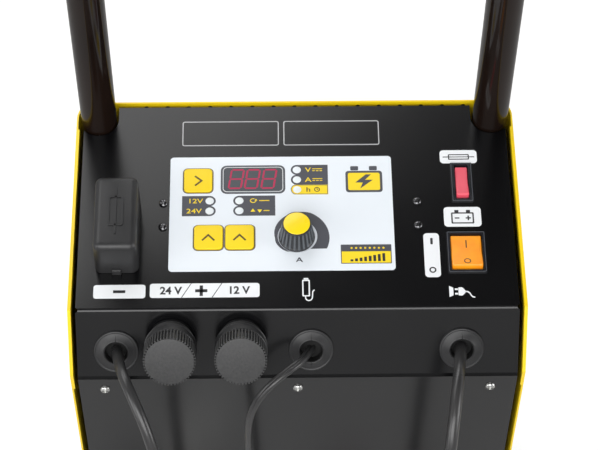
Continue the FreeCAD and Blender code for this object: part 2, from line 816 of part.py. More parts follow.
def overlay():
    """Thin printed sheet with openings for the display, keys, lamps and dial."""
    owner = body("overlay_panel")
    length = s.overlay_left + s.overlay_right
    width = s.overlay_rear - s.overlay_front
    outline = rounded(length, width, s.overlay_corner,
                      (s.overlay_right - s.overlay_left) / 2, (s.overlay_rear + s.overlay_front) / 2)
    pad(owner, drawing(owner, "XY_Plane", [outline]), s.overlay_sheet)
    gap = 2 * s.piece_gap
    loops = [rectangle(s.display_length + gap, s.display_width + gap, s.display_x, s.display_y)]
    for x, y in ((s.select_x, s.select_y), (s.left_key_x, s.lower_key_y), (s.right_key_x, s.lower_key_y)):
        loops.append(rounded(s.key_size + gap, s.key_size + gap, s.key_corner + s.piece_gap, x, y))
    circles = [(x, y, s.lamp_radius + s.piece_gap) for x, y in lamp_places()]
    circles.append((s.dial_x, s.dial_y, s.shaft_radius + s.piece_gap))
    pocket(owner, drawing(owner, "XY_Plane", loops, circles))
    node("overlay_panel", place(owner, ZERO, fold_y, s.panel_height))


def display():
    """Clear window with a rim, on the housing of a three-digit display."""
    window = block("display_window", s.display_length, s.display_width, s.display_depth, z=-s.display_depth)
    rim = block("display_rim", s.display_length + 2 * s.piece_gap + 2, s.display_width + 2 * s.piece_gap + 2,
                s.panel_sheet, z=-s.display_depth)
    whole = joined("display_module", [window, rim])
    node("display_module", on_panel(whole, s.display_x, s.display_y, s.overlay_sheet + s.piece_gap))


def key(name, x, y):
    """A square key cap with round corners above the panel, a hidden flange and a stem down to its switch."""
    owner = body(name)
    corner, size = s.key_corner, s.key_size
    below = s.board_drop / 4
    flange = size + 2 * s.key_flange
    pad(owner, drawing(owner, "XY_Plane", [rounded(size, size, corner)]), s.key_rise + below)
    pad(owner, drawing(owner, "XY_Plane", [rounded(flange, flange, corner)]), s.panel_sheet, backwards=True)
    pad(owner, drawing(owner, "XY_Plane", circles=[(ZERO, ZERO, s.key_stem)]),
        s.board_drop - below - s.board_sheet - s.key_travel - s.piece_gap, backwards=True)
    node(name, on_panel(owner, x, y, -below))


def lamps():
    lenses = []
    for number, (x, y) in enumerate(lamp_places()):
        lens = body(f"lamp_{number}")
        round_ = s.lamp_rise
        flat = s.lamp_radius - round_
        revolved(lens, [
            (ZERO, -s.lamp_depth), (s.lamp_radius, -s.lamp_depth), (s.lamp_radius, ZERO, round_),
            (flat, round_), (ZERO, round_),
        ])
        lenses.append(on_panel(lens, x, y, s.overlay_sheet))
    node("indicator_leds", several("indicator_leds", lenses))


def control_board():
    """Circuit board hung under the panel on four posts, with the dial's potentiometer, relays and a capacitor."""
    drop = s.board_drop
    middle = (s.overlay_right - s.overlay_left) / 2
    top = drop - s.panel_sheet
    inset = s.board_post * 4 / 3
    pieces = [block("board_plate", s.board_length, s.board_width, s.board_sheet, middle, s.board_y)]
    for side in (-1, 1):
        for end in (-1, 1):
            pieces.append(cylinder(f"board_post_{side + 1}_{end + 1}", s.board_post, top,
                                   middle + side * (s.board_length / 2 - inset),
                                   s.board_y + end * (s.board_width / 2 - inset)))
    pieces.append(cylinder("potentiometer", 3 * s.shaft_radius, top - 3, s.dial_x, s.dial_y))
    relay = s.board_width / 4
    for side in (-1, 1):
        pieces.append(block(f"relay_{side + 1}", relay, relay, relay, middle + side * relay, s.board_y, -relay))
    pieces.append(cylinder("capacitor", relay / 2, relay, middle + 3 * relay, s.board_y, -relay))
    whole = joined("board_assembly", pieces)
    bore = cylinder("potentiometer_bore", s.shaft_radius + s.piece_gap, drop, s.dial_x, s.dial_y, s.board_sheet)
    keyway = cut("control_board", whole, [bore])
    node("control_board", place(keyway, ZERO, fold_y, s.panel_height - drop))


def dial():
    """Ribbed rotary knob with a skirt, its pointer cap and the shaft below."""
    owner = body("dial_knob")
    skirt_height = sized(2.4)
    cap_depth = sized(1.6)
    grip = s.dial_radius
    lift = s.piece_gap
    top = s.dial_height
    bore = s.shaft_radius
    revolved(owner, [
        (bore, lift), (s.dial_skirt, lift), (s.dial_skirt, skirt_height / 2), (grip + 1, skirt_height),
        (grip, skirt_height + 1), (grip - 0.4, top - 0.6), (grip - 1, top), (grip - 1.6, top),
        (grip - 1.6, top - cap_depth), (bore, top - cap_depth),
    ])
    rib = drawing(owner, "XY_Plane", circles=[(grip + 0.5, ZERO, sized(0.9))], offset=skirt_height + 1)
    cutter = pocket(owner, rib, top, backwards=True)
    around(owner, cutter, rib, s.dial_ribs)
    node("dial_knob", on_panel(owner, s.dial_x, s.dial_y, s.overlay_sheet))
    cap = body("dial_cap")
    revolved(cap, [
        (ZERO, top - cap_depth), (grip - 1.7, top - cap_depth), (grip - 1.7, top + 0.2), (grip - 2.3, top + 0.7),
        (ZERO, top + 0.7)])
    pointer = drawing(cap, "XY_Plane", [rectangle(sized(1.2), grip, ZERO, grip / 2 + 1)], offset=top + 0.2)
    pocket(cap, pointer, 2, backwards=True)
    node("dial_cap", on_panel(cap, s.dial_x, s.dial_y, s.overlay_sheet))
    length = s.overlay_sheet + top - cap_depth + s.board_drop - s.board_sheet - s.piece_gap
    shaft = cylinder("dial_shaft", s.shaft_radius, length)
    lift = s.board_sheet + s.piece_gap - s.board_drop
    node("dial_shaft", on_panel(shaft, s.dial_x, s.dial_y, lift))


def screw(name, head, shank, length):
    """A raised-head screw with a cross recess, its head above the origin."""
    owner = body(name)
    rise = head / 2
    revolved(owner, [
        (ZERO, -length), (shank, -length), (shank, ZERO), (head, ZERO), (head, rise / 3), (head / 2, rise),
        (ZERO, rise)])
    slot = head * 0.28
    cross = [rectangle(head * 1.1, slot)]
    pocket(owner, drawing(owner, "XY_Plane", cross, offset=rise / 2), 2, backwards=True)
    upright = [rectangle(slot, head * 1.1)]
    pocket(owner, drawing(owner, "XY_Plane", upright, offset=rise / 2), 2, backwards=True)
    return owner


def screws():
    panel = [on_panel(screw(f"panel_screw_{number}", s.screw_head, s.screw_shank, s.screw_length), x, y)
             for number, (x, y) in enumerate(panel_screw_places())]
    node("panel_screws", several("panel_screws", panel))
    front = []
    for side in (-1, 0, 1):
        one = screw(f"front_screw_{side + 1}", s.front_screw_head, s.screw_shank, s.screw_length)
        front.append(place(one, side * front_screw_x, front_y, front_screw_z(), X_AXIS, sized(90)))
    node("front_screws", several("front_screws", front))


def fuse():
    """Fuse base with two studs and a bolted strip, under a lift-off cover."""
    cover = body("fuse_cover")
    corner = s.fuse_round
    shell = pad(cover, drawing(cover, "XY_Plane", [rounded(s.fuse_width, s.fuse_length, corner)]), s.fuse_height)
    soften_top(cover, shell, corner - 0.5)
    catch = s.fuse_catch
    tongue = rectangle(catch, s.fuse_wall, ZERO, -(s.fuse_length + s.fuse_wall) / 2)
    pad(cover, drawing(cover, "XY_Plane", [tongue]), catch)
    inner = rounded(s.fuse_width - 2 * s.fuse_wall, s.fuse_length - 2 * s.fuse_wall, corner - s.fuse_wall)
    pocket(cover, drawing(cover, "XY_Plane", [inner]), s.fuse_height - s.fuse_wall, backwards=True)
    node("fuse_cover", on_panel(cover, fuse_x, s.fuse_y, s.piece_gap))
    gap = 2 * s.piece_gap
    base_height = s.fuse_wall * 2
    plate = body("fuse_plate")
    outline = rounded(s.fuse_width - 2 * s.fuse_wall - gap, s.fuse_length - 2 * s.fuse_wall - gap, sized(1))
    pad(plate, drawing(plate, "XY_Plane", [outline]), base_height)
    node("fuse_base", on_panel(plate, fuse_x, s.fuse_y))
    studs = []
    strip_height = base_height + s.fuse_stud
    for end in (-1, 1):
        stud = body(f"fuse_stud_{end + 1}")
        radius, nut = s.fuse_stud, s.fuse_stud * 1.7
        tall = strip_height + s.overlay_sheet * 2
        revolved(stud, [
            (ZERO, base_height), (nut, base_height), (nut, strip_height), (radius, strip_height), (radius, tall),
            (nut, tall), (nut, tall + radius), (radius, tall + radius), (radius, tall + 2 * radius),
            (ZERO, tall + 2 * radius)])
        studs.append(on_panel(stud, fuse_x, s.fuse_y + end * s.fuse_stud_gap / 2))
    node("fuse_studs", several("fuse_studs", studs))
    strip = body("fuse_strip")
    outline = rounded(s.fuse_stud * 4, s.fuse_stud_gap + s.fuse_stud * 5, s.fuse_stud)
    holes = [(ZERO, end * s.fuse_stud_gap / 2, s.fuse_stud) for end in (-1, 1)]
    pad(strip, drawing(strip, "XY_Plane", [outline], holes), s.overlay_sheet * 2)
    waist = [(side * s.fuse_stud * 2, ZERO, s.fuse_stud) for side in (-1, 1)]
    pocket(strip, drawing(strip, "XY_Plane", circles=waist))
    node("fuse_strip", on_panel(strip, fuse_x, s.fuse_y, strip_height))


def housing_size(rocker_size):
    """A switch housing is as large as its rocker, the play round it and two walls."""
    return rocker_size + 2 * s.piece_gap + 2 * s.switch_wall


def rocker_switch(name, moving, x, y, length, width, rocker_length, rocker_width):
    """A bezel with its housing below the panel, and a rocker that tips on a cross pin inside it."""
    gap = s.piece_gap
    rise = s.bezel_rise
    well = rise + rocker_length / 2 + gap
    frame = body(f"{name}_bezel")
    pad(frame, drawing(frame, "XY_Plane", [rounded(width, length, sized(1.5))]), rise)
    depth = well + s.panel_sheet
    housing = rectangle(housing_size(rocker_width), housing_size(rocker_length))
    pad(frame, drawing(frame, "XY_Plane", [housing]), depth, backwards=True)
    opening = rectangle(rocker_width + 2 * gap, rocker_length + 2 * gap)
    pocket(frame, drawing(frame, "XY_Plane", [opening], offset=rise), well)
    node(name, on_panel(frame, x, y))
    rocker = body(moving)
    reach = rocker_length / 2
    angle = s.rocker_tilt
    edge = 2 * angle
    low = -angle * 2.5
    profile = [
        (reach * cosine(low), reach * sine(low), reach),
        (reach * cosine(edge), reach * sine(edge)), (ZERO, s.bezel_rise - s.bezel_rise / 3),
        (-reach * cosine(edge), reach * sine(edge), reach), (-reach * cosine(low), reach * sine(low)),
    ]
    pad(rocker, drawing(rocker, "YZ_Plane", [profile]), rocker_width, both_ways=True)
    node(moving, place(rocker, x, fold_y + y, s.panel_height + rise - 1, X_AXIS, -angle))


def grommet(name, x):
    """Domed rubber bush with a wide mouth, held in the face by its groove."""
    owner = body(f"grommet_{name}")
    flange, rise, neck, mouth = s.grommet_flange, s.grommet_rise, s.grommet_neck, s.grommet_mouth
    behind = -s.panel_sheet
    shoulder = flange * 0.2
    revolved(owner, [
        (ZERO, 3 * behind), (neck * 1.15, 3 * behind), (neck * 1.15, behind), (neck, behind), (neck, ZERO),
        (flange, ZERO), (flange, rise / 3, shoulder), (flange - shoulder, rise / 3 + shoulder),
        (mouth + 1, rise), (mouth, rise - 1), (mouth, s.grommet_floor), (ZERO, s.grommet_floor),
    ])
    node(f"grommet_{name}", on_face(owner, x, s.grommet_down))


def terminal(name, x):
    """Insulated stud through the face with a captive washer and a large ribbed knob."""
    base = body(f"terminal_base_{name}")
    radius, rise, neck, stud = s.terminal_base_radius, s.terminal_base_height, s.terminal_neck, s.terminal_stud
    behind = -s.panel_sheet
    revolved(base, [
        (stud, 4 * behind), (neck * 1.5, 4 * behind), (neck * 1.5, behind), (neck, behind), (neck, ZERO),
        (radius, ZERO), (radius, rise - 1), (radius - 1, rise), (stud, rise)])
    node(f"terminal_base_{name}", on_face(base, x, s.terminal_down))
    rod = body(f"terminal_stud_{name}")
    back = 4 * behind
    revolved(rod, [
        (ZERO, back - 2 * stud), (stud, back - 2 * stud), (stud, back - stud), (stud * 1.7, back - stud),
        (stud * 1.7, back), (stud, back), (stud, s.stud_reach - 1), (stud - 1, s.stud_reach), (ZERO, s.stud_reach)])
    node(f"terminal_stud_{name}", on_face(rod, x, s.terminal_down))
    washer = body(f"terminal_washer_{name}")
    bore = stud + s.piece_gap
    seat = rise
    high = seat + s.washer_height
    revolved(washer, [(bore, seat), (radius - 2, seat), (radius - 2, high), (bore, high)])
    node(f"terminal_washer_{name}", on_face(washer, x, s.terminal_down))
    knob = body(f"terminal_knob_{name}")
    outer, ring, total = s.knob_radius, s.knob_ring, s.knob_height
    deep = s.stud_reach - high + s.washer_height
    revolved(knob, [
        (bore, ZERO), (outer - 0.6, ZERO), (outer - 0.6, ring), (outer, ring + 0.6), (outer, total - 1),
        (outer - 1, total), (ZERO, total), (ZERO, deep), (bore, deep)])
    half = s.knob_rib_depth
    groove = [
        (outer - s.knob_rib_depth, ZERO), (outer + 1, -half - 0.6), (outer + 1, half + 0.6)]
    sketch = drawing(knob, "XY_Plane", [groove], offset=ring + 0.6)
    around(knob, pocket(knob, sketch, total, backwards=True), sketch, s.knob_ribs)
    node(f"terminal_knob_{name}", on_face(knob, x, s.terminal_down, high))


def transformer():
    """Laminated core standing on the tray, with one coil round its middle leg."""
    core = body("transformer_core")
    length, tall, leg = s.core_length, s.core_height, s.core_leg
    window = (length - 4 * leg) / 2
    outline = [(-length / 2, ZERO), (length / 2, ZERO), (length / 2, tall), (-length / 2, tall)]
    loops = [outline]
    for side in (-1, 1):
        loops.append(rectangle(window, tall - 2 * leg, side * (leg + window / 2), tall / 2))
    pad(core, drawing(core, "XZ_Plane", loops), s.core_stack, both_ways=True)
    base = s.cabinet_bottom + s.panel_sheet
    node("transformer_core", place(core, s.core_x, fold_y + s.core_y, base))
    coil = body("transformer_windings")
    gap = s.piece_gap
    high = tall - 2 * leg - 2 * gap
    wide = 2 * leg + 2 * (window - 2 * gap)
    deep = s.core_stack + 2 * s.winding_bulge
    hollow = rectangle(2 * leg + 2 * gap, s.core_stack + 2 * gap)
    pad(coil, drawing(coil, "XY_Plane", [rounded(wide, deep, sized(6)), hollow]), high)
    node("transformer_windings", place(coil, s.core_x, fold_y + s.core_y, base + leg + gap))


def rectifier():
    """Finned heat sink with four pressed diodes."""
    sink = body("heat_sink")
    pad(sink, drawing(sink, "XY_Plane", [rectangle(s.sink_length, s.sink_base)]), s.sink_height)
    first = (s.sink_fin - s.sink_length) / 2
    fin = rectangle(s.sink_fin, s.sink_depth, first, (s.sink_depth + s.sink_base) / 2)
    sketch = drawing(sink, "XY_Plane", [fin])
    in_row(sink, pad(sink, sketch, s.sink_height), sketch, s.sink_fins, s.sink_length - s.sink_fin)
    pieces = [sink]
    for column in (-1, 1):
        for level in (1, 3):
            pieces.append(cylinder(f"diode_{column + 1}_{level}", s.sink_base * 1.2, s.sink_base * 2,
                                   column * s.sink_length / 4, -s.sink_base / 2,
                                   level * s.sink_height / 4, X_AXIS, sized(90)))
    whole = joined("rectifier", pieces)
    node("rectifier", place(whole, s.sink_x, fold_y + s.sink_y, s.cabinet_bottom + s.panel_sheet))


def tangent_arc(start, corner, end):
    """The arc that leaves start towards corner and reaches end from it; both legs are equal."""
    inward, outward = corner - start, end - corner
    turn = inward.getAngle(outward)
    radius = inward.Length / math.tan(turn / 2)
    chord_middle = (start + end) / 2
    middle = corner + (chord_middle - corner).normalize() * radius * (1 / math.cos(turn / 2) - 1)
    return Part.Arc(start, middle, end).toShape(), radius


def run_path(points):
    """Straight runs between the points, joined by arcs as large as the shorter run beside each allows."""
    share = 0.45
    edges, radii = [], []
    here = points[0]
    for before, corner, after in zip(points, points[1:], points[2:]):
        leg = share * min((corner - before).Length, (after - corner).Length)
        start = corner + (before - corner).normalize() * leg
        end = corner + (after - corner).normalize() * leg
        edges.append(Part.makeLine(here, start))
        arc, radius = tangent_arc(start, corner, end)
        edges.append(arc)
        radii.append(radius)
        here = end
    edges.append(Part.makeLine(here, points[-1]))
    return edges, radii


def winding_path(spot, turns, lead_in, lead_out):
    """Biarcs of a quarter turn along a winding, with a straight stretch at each end."""
    count = round(turns * 4)
    tiny = 0.001

    def heading(turn):
        low, high = max(turn - tiny, 0), min(turn + tiny, turns)
        return (spot(high) - spot(low)).normalize()

    edges = []
    places = [spot(turns * step / count) for step in range(count + 1)]
    headings = [heading(turns * step / count) for step in range(count + 1)]
    for end in (0, count):
        headings[end] = FreeCAD.Vector(headings[end].x, headings[end].y, 0).normalize()
    edges.append(Part.makeLine(places[0] - headings[0] * lead_in, places[0]))
    for step in range(count):
        start, end = places[step], places[step + 1]
        out, home = headings[step], headings[step + 1]
        gap, both = end - start, out + home
        slack = 1 - out.dot(home)
        along = gap.dot(both)
        leg = (math.sqrt(along ** 2 + 2 * slack * gap.dot(gap)) - along) / (2 * slack)
        first, last = start + out * leg, end - home * leg
        joint = (first + last) / 2
        edges.append(tangent_arc(start, first, joint)[0])
        edges.append(tangent_arc(joint, last, end)[0])
    edges.append(Part.makeLine(places[-1], places[-1] + headings[-1] * lead_out))
    return edges


def tube_along(edges, radius):
    wire = Part.Wire(edges)
    ring = Part.Wire(Part.makeCircle(radius, edges[0].valueAt(edges[0].FirstParameter),
                                     edges[0].tangentAt(edges[0].FirstParameter)))
    solid = wire.makePipeShell([ring], True, False)
    expected = math.pi * radius ** 2 * wire.Length
    return solid, wire.Length, solid.Volume / expected


def least_gap(edges, diameter):
    """Least clear distance between two turns, measured on points along the path."""
    points = []
    for edge in edges:
        count = max(int(edge.Length / 2), 2)
        points += [edge.valueAt(edge.FirstParameter + (edge.LastParameter - edge.FirstParameter) * step / count)
                   for step in range(count)]
    along = [0.0]
    for before, after in zip(points, points[1:]):
        along.append(along[-1] + (after - before).Length)
    far = 4 * diameter
    return min(
        (points[first] - points[second]).Length - diameter
        for first in range(len(points)) for second in range(first)
        if along[first] - along[second] > far)


def soft_node(name, solid):
    thing = doc.addObject("Part::Feature", name)
    thing.Shape = solid
    thing.Placement = FreeCAD.Placement()
    return node(name, place(thing, ZERO, fold_y, ZERO))


# Each route starts over its grommet's floor and ends at the straight lead of its coil: across, behind the fold
# and above the floor.
NEGATIVE_ROUTE = (
    (-119, -36.2, 588.5), (-111, -57.3, 591.3), (-101, -78, 582), (-94.5, -92, 562), (-91.5, -97, 533), (-90, -95, 480),
    (-91, -91, 405), (-88.5, -88, 325), (-88.5, -83, 245), (-85, -79, 165), (-81, -75.6, 96),
    (-74.8, -75, 40), (-88.5, -75, 16.25), (-109.5, -75, 3.75),
)
REMOTE_ROUTE = (
    (5, -28.5, 583.5), (-4, -39.5, 587), (-14, -48, 583), (-21.5, -54, 570), (-26, -57, 550), (-28, -58, 515),
    (-26.5, -60, 450), (-29, -62, 380), (-28, -64, 310), (-30, -66, 240), (-29.5, -68, 170), (-32, -70, 105),
    (-33, -72, 53), (-33.6, -72.2, 22), (-27, -72, 9.2), (-15, -72, 2.75),
)
MAINS_ROUTE = (
    (107.3, -36, 588.5), (104, -59, 592.5), (100.5, -83, 584.5), (98, -99.5, 563.5), (97, -104, 533), (95.5, -101, 480),
    (93.5, -96, 405), (92, -92, 325), (88, -87, 245), (85, -82, 165), (77, -77, 100),
    (71, -76, 42.5), (85, -76, 17), (107.5, -76, 4),
)
# Each coil: its centre across, the place of its rear edge, turns, winding direction seen from above, outer radius
# and the length of its straight far end.
COILS = {
    "negative": (-140, -75, 4.375, 1, 47.7, 34),
    "remote": (8, -72, 7.25, -1, 40, 26),
    "mains": (140, -76, 4.375, -1, 49.1, 8),
}


def lead(name, x, diameter, route):
    """A lead hanging from its grommet to the floor, then wound in a two-layer coil; returns the coil's far end."""
    radius = diameter.number / 2
    start_lift = s.grommet_floor.number + s.piece_gap.number
    down, angle = s.grommet_down.number, math.radians(s.face_angle.number)
    normal = FreeCAD.Vector(0, -math.sin(angle), math.cos(angle))
    exit_ = FreeCAD.Vector(x.number, -down * math.cos(angle), s.panel_height.number - down * math.sin(angle))
    across, rear, turns, spin, outer, tail = COILS[name]
    begin = FreeCAD.Vector(across + spin * diameter.number, rear, radius)
    points = [exit_ + normal * start_lift] + [FreeCAD.Vector(*point) for point in route] + [begin]
    edges, radii = run_path(points)
    solid, length, ratio = tube_along(edges, radius)
    print(name, "lead radii", [round(value, 1) for value in radii], "length", round(length, 1),
          "volume ratio", round(ratio, 4))
    soft_node(f"{name}_cable", solid)
    pitch = diameter.number + s.turn_gap.number
    middle, climb = turns / 2, 0.25

    def spot(turn):
        reach = outer - pitch * (middle - abs(turn - middle))
        share = min(max((turn - middle + climb) / (2 * climb), 0), 1)
        rise = radius + pitch * (1 - math.cos(math.pi * share)) / 2
        angle_ = math.pi / 2 + spin * 2 * math.pi * turn
        return FreeCAD.Vector(across + reach * math.cos(angle_), rear - outer + reach * math.sin(angle_), rise)

    edges = winding_path(spot, turns, diameter.number, tail)
    solid, wound, ratio = tube_along(edges, radius)
    print(name, "coil length", round(wound, 1), "volume ratio", round(ratio, 4),
          "least gap", round(least_gap(edges, diameter.number), 2), "whole lead", round(length + wound, 1))
    soft_node(f"{name}_coil", solid)
    last = edges[-1]
    far = last.valueAt(last.LastParameter)
    heading = last.tangentAt(last.LastParameter)
    return far, math.degrees(math.atan2(heading.y, heading.x))


def at_end(thing, end, lift=0.0):
    """Lays a piece on the floor with its own X along the lead that ends there."""
    point, heading = end
    thing.Placement = FreeCAD.Placement(FreeCAD.Vector(0, 0, 0), FreeCAD.Rotation(Z_AXIS, heading))
    bind(thing, "Placement.Base.x", round(point.x, 4))
    bind(thing, "Placement.Base.y", fold_y + round(point.y, 4))
    bind(thing, "Placement.Base.z", sized(lift))
    return thing


def jaw_outline(side, middle, grow):
    """Outline of one jaw from handle to teeth, measured from the clamp's middle line to the side given."""
    length, spread = s.clamp_length, s.clamp_spread
    flat = s.piece_gap
    outer = [(ZERO, 1), (0.36, 0.93), (0.62, 0.48), (0.83, 0.56), (0.97, 0.3)]
    inner = [(0.82, 0.22), (0.73, 0.22), (0.69, -0.3), (0.55, -0.3), (0.5, 0.22), (0.36, 0.44), (ZERO, 0.48)]
    points = [(length * along, spread * out - grow) for along, out in outer]
    points += [(length - grow, spread * 0.07 - grow / 2), (length - grow, flat), (length * 0.86, flat)]
    points += [(length * along, spread * out) for along, out in inner]
    placed = [(x, middle + side * y) for x, y in points]
    return placed if side < 0 else placed[::-1]


def clamp(end):
    """Spring clamp: a channel-shaped jaw with the lead crimped in its handle, and a narrower jaw pinned inside it."""
    thick = s.negative_diameter * 3 + s.turn_gap * 2
    plate = s.clamp_plate
    middle = sized(-20)
    pivot = s.clamp_length * 0.62
    half = thick / 2
    fixed = body("clamp_jaw_fixed")
    pad(fixed, drawing(fixed, "XY_Plane", [jaw_outline(1, middle, ZERO)]), thick, both_ways=True)
    inside = pocket(fixed, drawing(fixed, "XY_Plane", [jaw_outline(1, middle, plate)]), thick - 2 * plate)
    inside.SideType = "Symmetric"
    crimp = rectangle(sized(16), sized(12), sized(8), ZERO)
    pad(fixed, drawing(fixed, "XY_Plane", [crimp]), thick - plate, both_ways=True)
    pocket(fixed, drawing(fixed, "XY_Plane", circles=[(pivot, middle, s.clamp_pin_radius + s.piece_gap / 3)]))
    node("clamp_jaw_fixed", at_end(fixed, end, half))
    moving = body("clamp_jaw_moving")
    narrow = thick - 2 * plate - 2 * s.piece_gap
    pad(moving, drawing(moving, "XY_Plane", [jaw_outline(-1, middle, ZERO)]), narrow, both_ways=True)
    inside = pocket(moving, drawing(moving, "XY_Plane", [jaw_outline(-1, middle, plate)]), narrow - 2 * plate)
    inside.SideType = "Symmetric"
    pocket(moving, drawing(moving, "XY_Plane", circles=[(pivot, middle, s.clamp_pin_radius + s.piece_gap / 3)]))
    node("clamp_jaw_moving", at_end(moving, end, half))
    pin = cylinder("clamp_pin", s.clamp_pin_radius, thick)
    across = FreeCAD.Rotation(Z_AXIS, end[1]).multVec(FreeCAD.Vector(pivot.number, middle.number, 0))
    pivot_end = (end[0] + across, end[1])
    node("clamp_pin", at_end(pin, pivot_end))
    wire, turns, pitch, bend = 0.8, 4.5, 2.4, 5.6

    def spot(turn):
        angle = 2 * math.pi * turn
        return FreeCAD.Vector(bend * math.cos(angle), bend * math.sin(angle), pitch * (turn - turns / 2))

    edges = winding_path(spot, turns, 2 * wire, 2 * wire)
    solid, length, ratio = tube_along(edges, wire)
    print("clamp spring length", round(length, 1), "volume ratio", round(ratio, 4),
          "least gap", round(least_gap(edges, 2 * wire), 2))
    spring = doc.addObject("Part::Feature", "clamp_spring")
    spring.Shape = solid
    node("clamp_spring", at_end(spring, pivot_end, half))
    print("clamp pivot at", [round(value, 2) for value in pivot_end[0]], "heading", round(end[1], 3))


def handset(end):
    """Moulded hand control on the flat lead, with a push button on top."""
    relief = s.handset_relief
    entry = s.remote_diameter * 1.5 + s.turn_gap
    length = s.handset_length - relief
    shell = body("remote_shell")
    outline = rounded(length, s.handset_width, s.handset_corner, relief + length / 2, ZERO)
    soften_top(shell, pad(shell, drawing(shell, "XY_Plane", [outline]), s.handset_height), s.handset_corner / 2)
    button_x = relief + length * 0.72
    bore = drawing(shell, "XY_Plane", circles=[(button_x, ZERO, s.button_radius + s.piece_gap)],
                   offset=s.handset_height)
    pocket(shell, bore, s.button_travel + 7)
    cone = doc.addObject("Part::Cone", "remote_relief")
    bind(cone, "Radius1", s.remote_diameter / 2 + 1)
    bind(cone, "Radius2", s.remote_diameter / 2 + 3)
    bind(cone, "Height", relief)
    place(cone, ZERO, ZERO, entry, Y_AXIS, sized(90))
    whole = joined("remote_body", [shell, cone])
    node("remote_body", at_end(whole, end))
    button = body("remote_button")
    low, high = s.handset_height - s.button_travel - 3, s.handset_height + s.button_travel + 0.5
    radius = s.button_radius
    revolved(button, [
        (ZERO, low), (radius, low), (radius, high - 2, sized(2)), (radius - 2, high), (ZERO, high)])
    across = FreeCAD.Rotation(Z_AXIS, end[1]).multVec(FreeCAD.Vector(button_x.number, 0, 0))
    button_end = (end[0] + across, end[1])
    node("remote_button", at_end(button, button_end))


def plug(end):
    """Moulded three-pin plug with a tapered strain relief."""
    relief = s.plug_relief
    axis_height = s.mains_diameter * 1.5 + s.turn_gap
    cone = doc.addObject("Part::Cone", "plug_relief")
    bind(cone, "Radius1", s.mains_diameter / 2 + 1)
    bind(cone, "Radius2", s.mains_diameter / 2 + 4)
    bind(cone, "Height", relief)
    place(cone, ZERO, ZERO, axis_height, Y_AXIS, sized(90))
    shell = body("plug_shell")
    half, taper = s.plug_width / 2, s.plug_width / 3
    outline = [
        (relief, -taper), (relief + taper, -half), (relief + s.plug_length, -half), (relief + s.plug_length, half),
        (relief + taper, half), (relief, taper)]
    pad(shell, drawing(shell, "XY_Plane", [outline]), 2 * axis_height)
    far = relief + s.plug_length
    blade_height = axis_height + 3.5
    pieces = [cone, shell]
    for side in (-1, 1):
        pieces.append(block(f"plug_blade_{side + 1}", s.blade_length, s.blade_sheet, s.blade_width,
                            far + s.blade_length / 2, side * s.blade_spacing / 2, blade_height - s.blade_width / 2))
    pieces.append(cylinder("plug_earth_pin", s.blade_width * 0.375, s.blade_length + 3, far, ZERO,
                           blade_height - s.blade_spacing * 0.93, Y_AXIS, sized(90)))
    node("mains_plug", at_end(joined("mains_plug", pieces), end))


rear_cover()
top_panel()
front_panel()
base_tray()
handle_frame()
wheels()
front_foot()
overlay()
display()
key("key_select", s.select_x, s.select_y)
key("key_left", s.left_key_x, s.lower_key_y)
key("key_right", s.right_key_x, s.lower_key_y)
lamps()
control_board()
dial()
screws()
fuse()
rocker_switch("mains_switch", "mains_rocker", mains_x, s.mains_y, s.mains_length, s.mains_width,
              s.mains_rocker_length, s.mains_rocker_width)
rocker_switch("breaker_body", "breaker_rocker", breaker_x, s.breaker_y, s.breaker_length, s.breaker_width,
              s.breaker_rocker_length, s.breaker_rocker_width)
for lead_name, lead_x in leads():
    grommet(lead_name, lead_x)
for terminal_name, terminal_x in terminals():
    terminal(terminal_name, terminal_x)
transformer()
rectifier()
clamp(lead("negative", s.negative_x, s.negative_diameter, NEGATIVE_ROUTE))
handset(lead("remote", s.remote_x, s.remote_diameter, REMOTE_ROUTE))
plug(lead("mains", s.mains_lead_x, s.mains_diameter, MAINS_ROUTE))
doc.recompute()

faults = [thing.Name for thing in doc.Objects if "Invalid" in thing.State or "Error" in thing.State]
for thing in nodes:
    if thing.Shape.isNull() or not thing.Shape.isValid() or not thing.Shape.Solids:
        faults.append(f"shape of {thing.Label}")
if faults:
    raise RuntimeError("Faults: " + ", ".join(faults))
idle = [feature.Name for feature in pockets
        if feature.BaseFeature is not None and feature.Shape.Volume >= feature.BaseFeature.Shape.Volume]
if idle:
    raise RuntimeError("These cut nothing: " + ", ".join(idle))

os.makedirs("parts", exist_ok=True)
for thing in nodes:
    thing.Shape.exportStep(f"parts/{thing.Label}.step")
print(len(nodes), "nodes")
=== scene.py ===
import json
import math

import bmesh
import bpy
from mathutils import Matrix, Vector
from mathutils.bvhtree import BVHTree

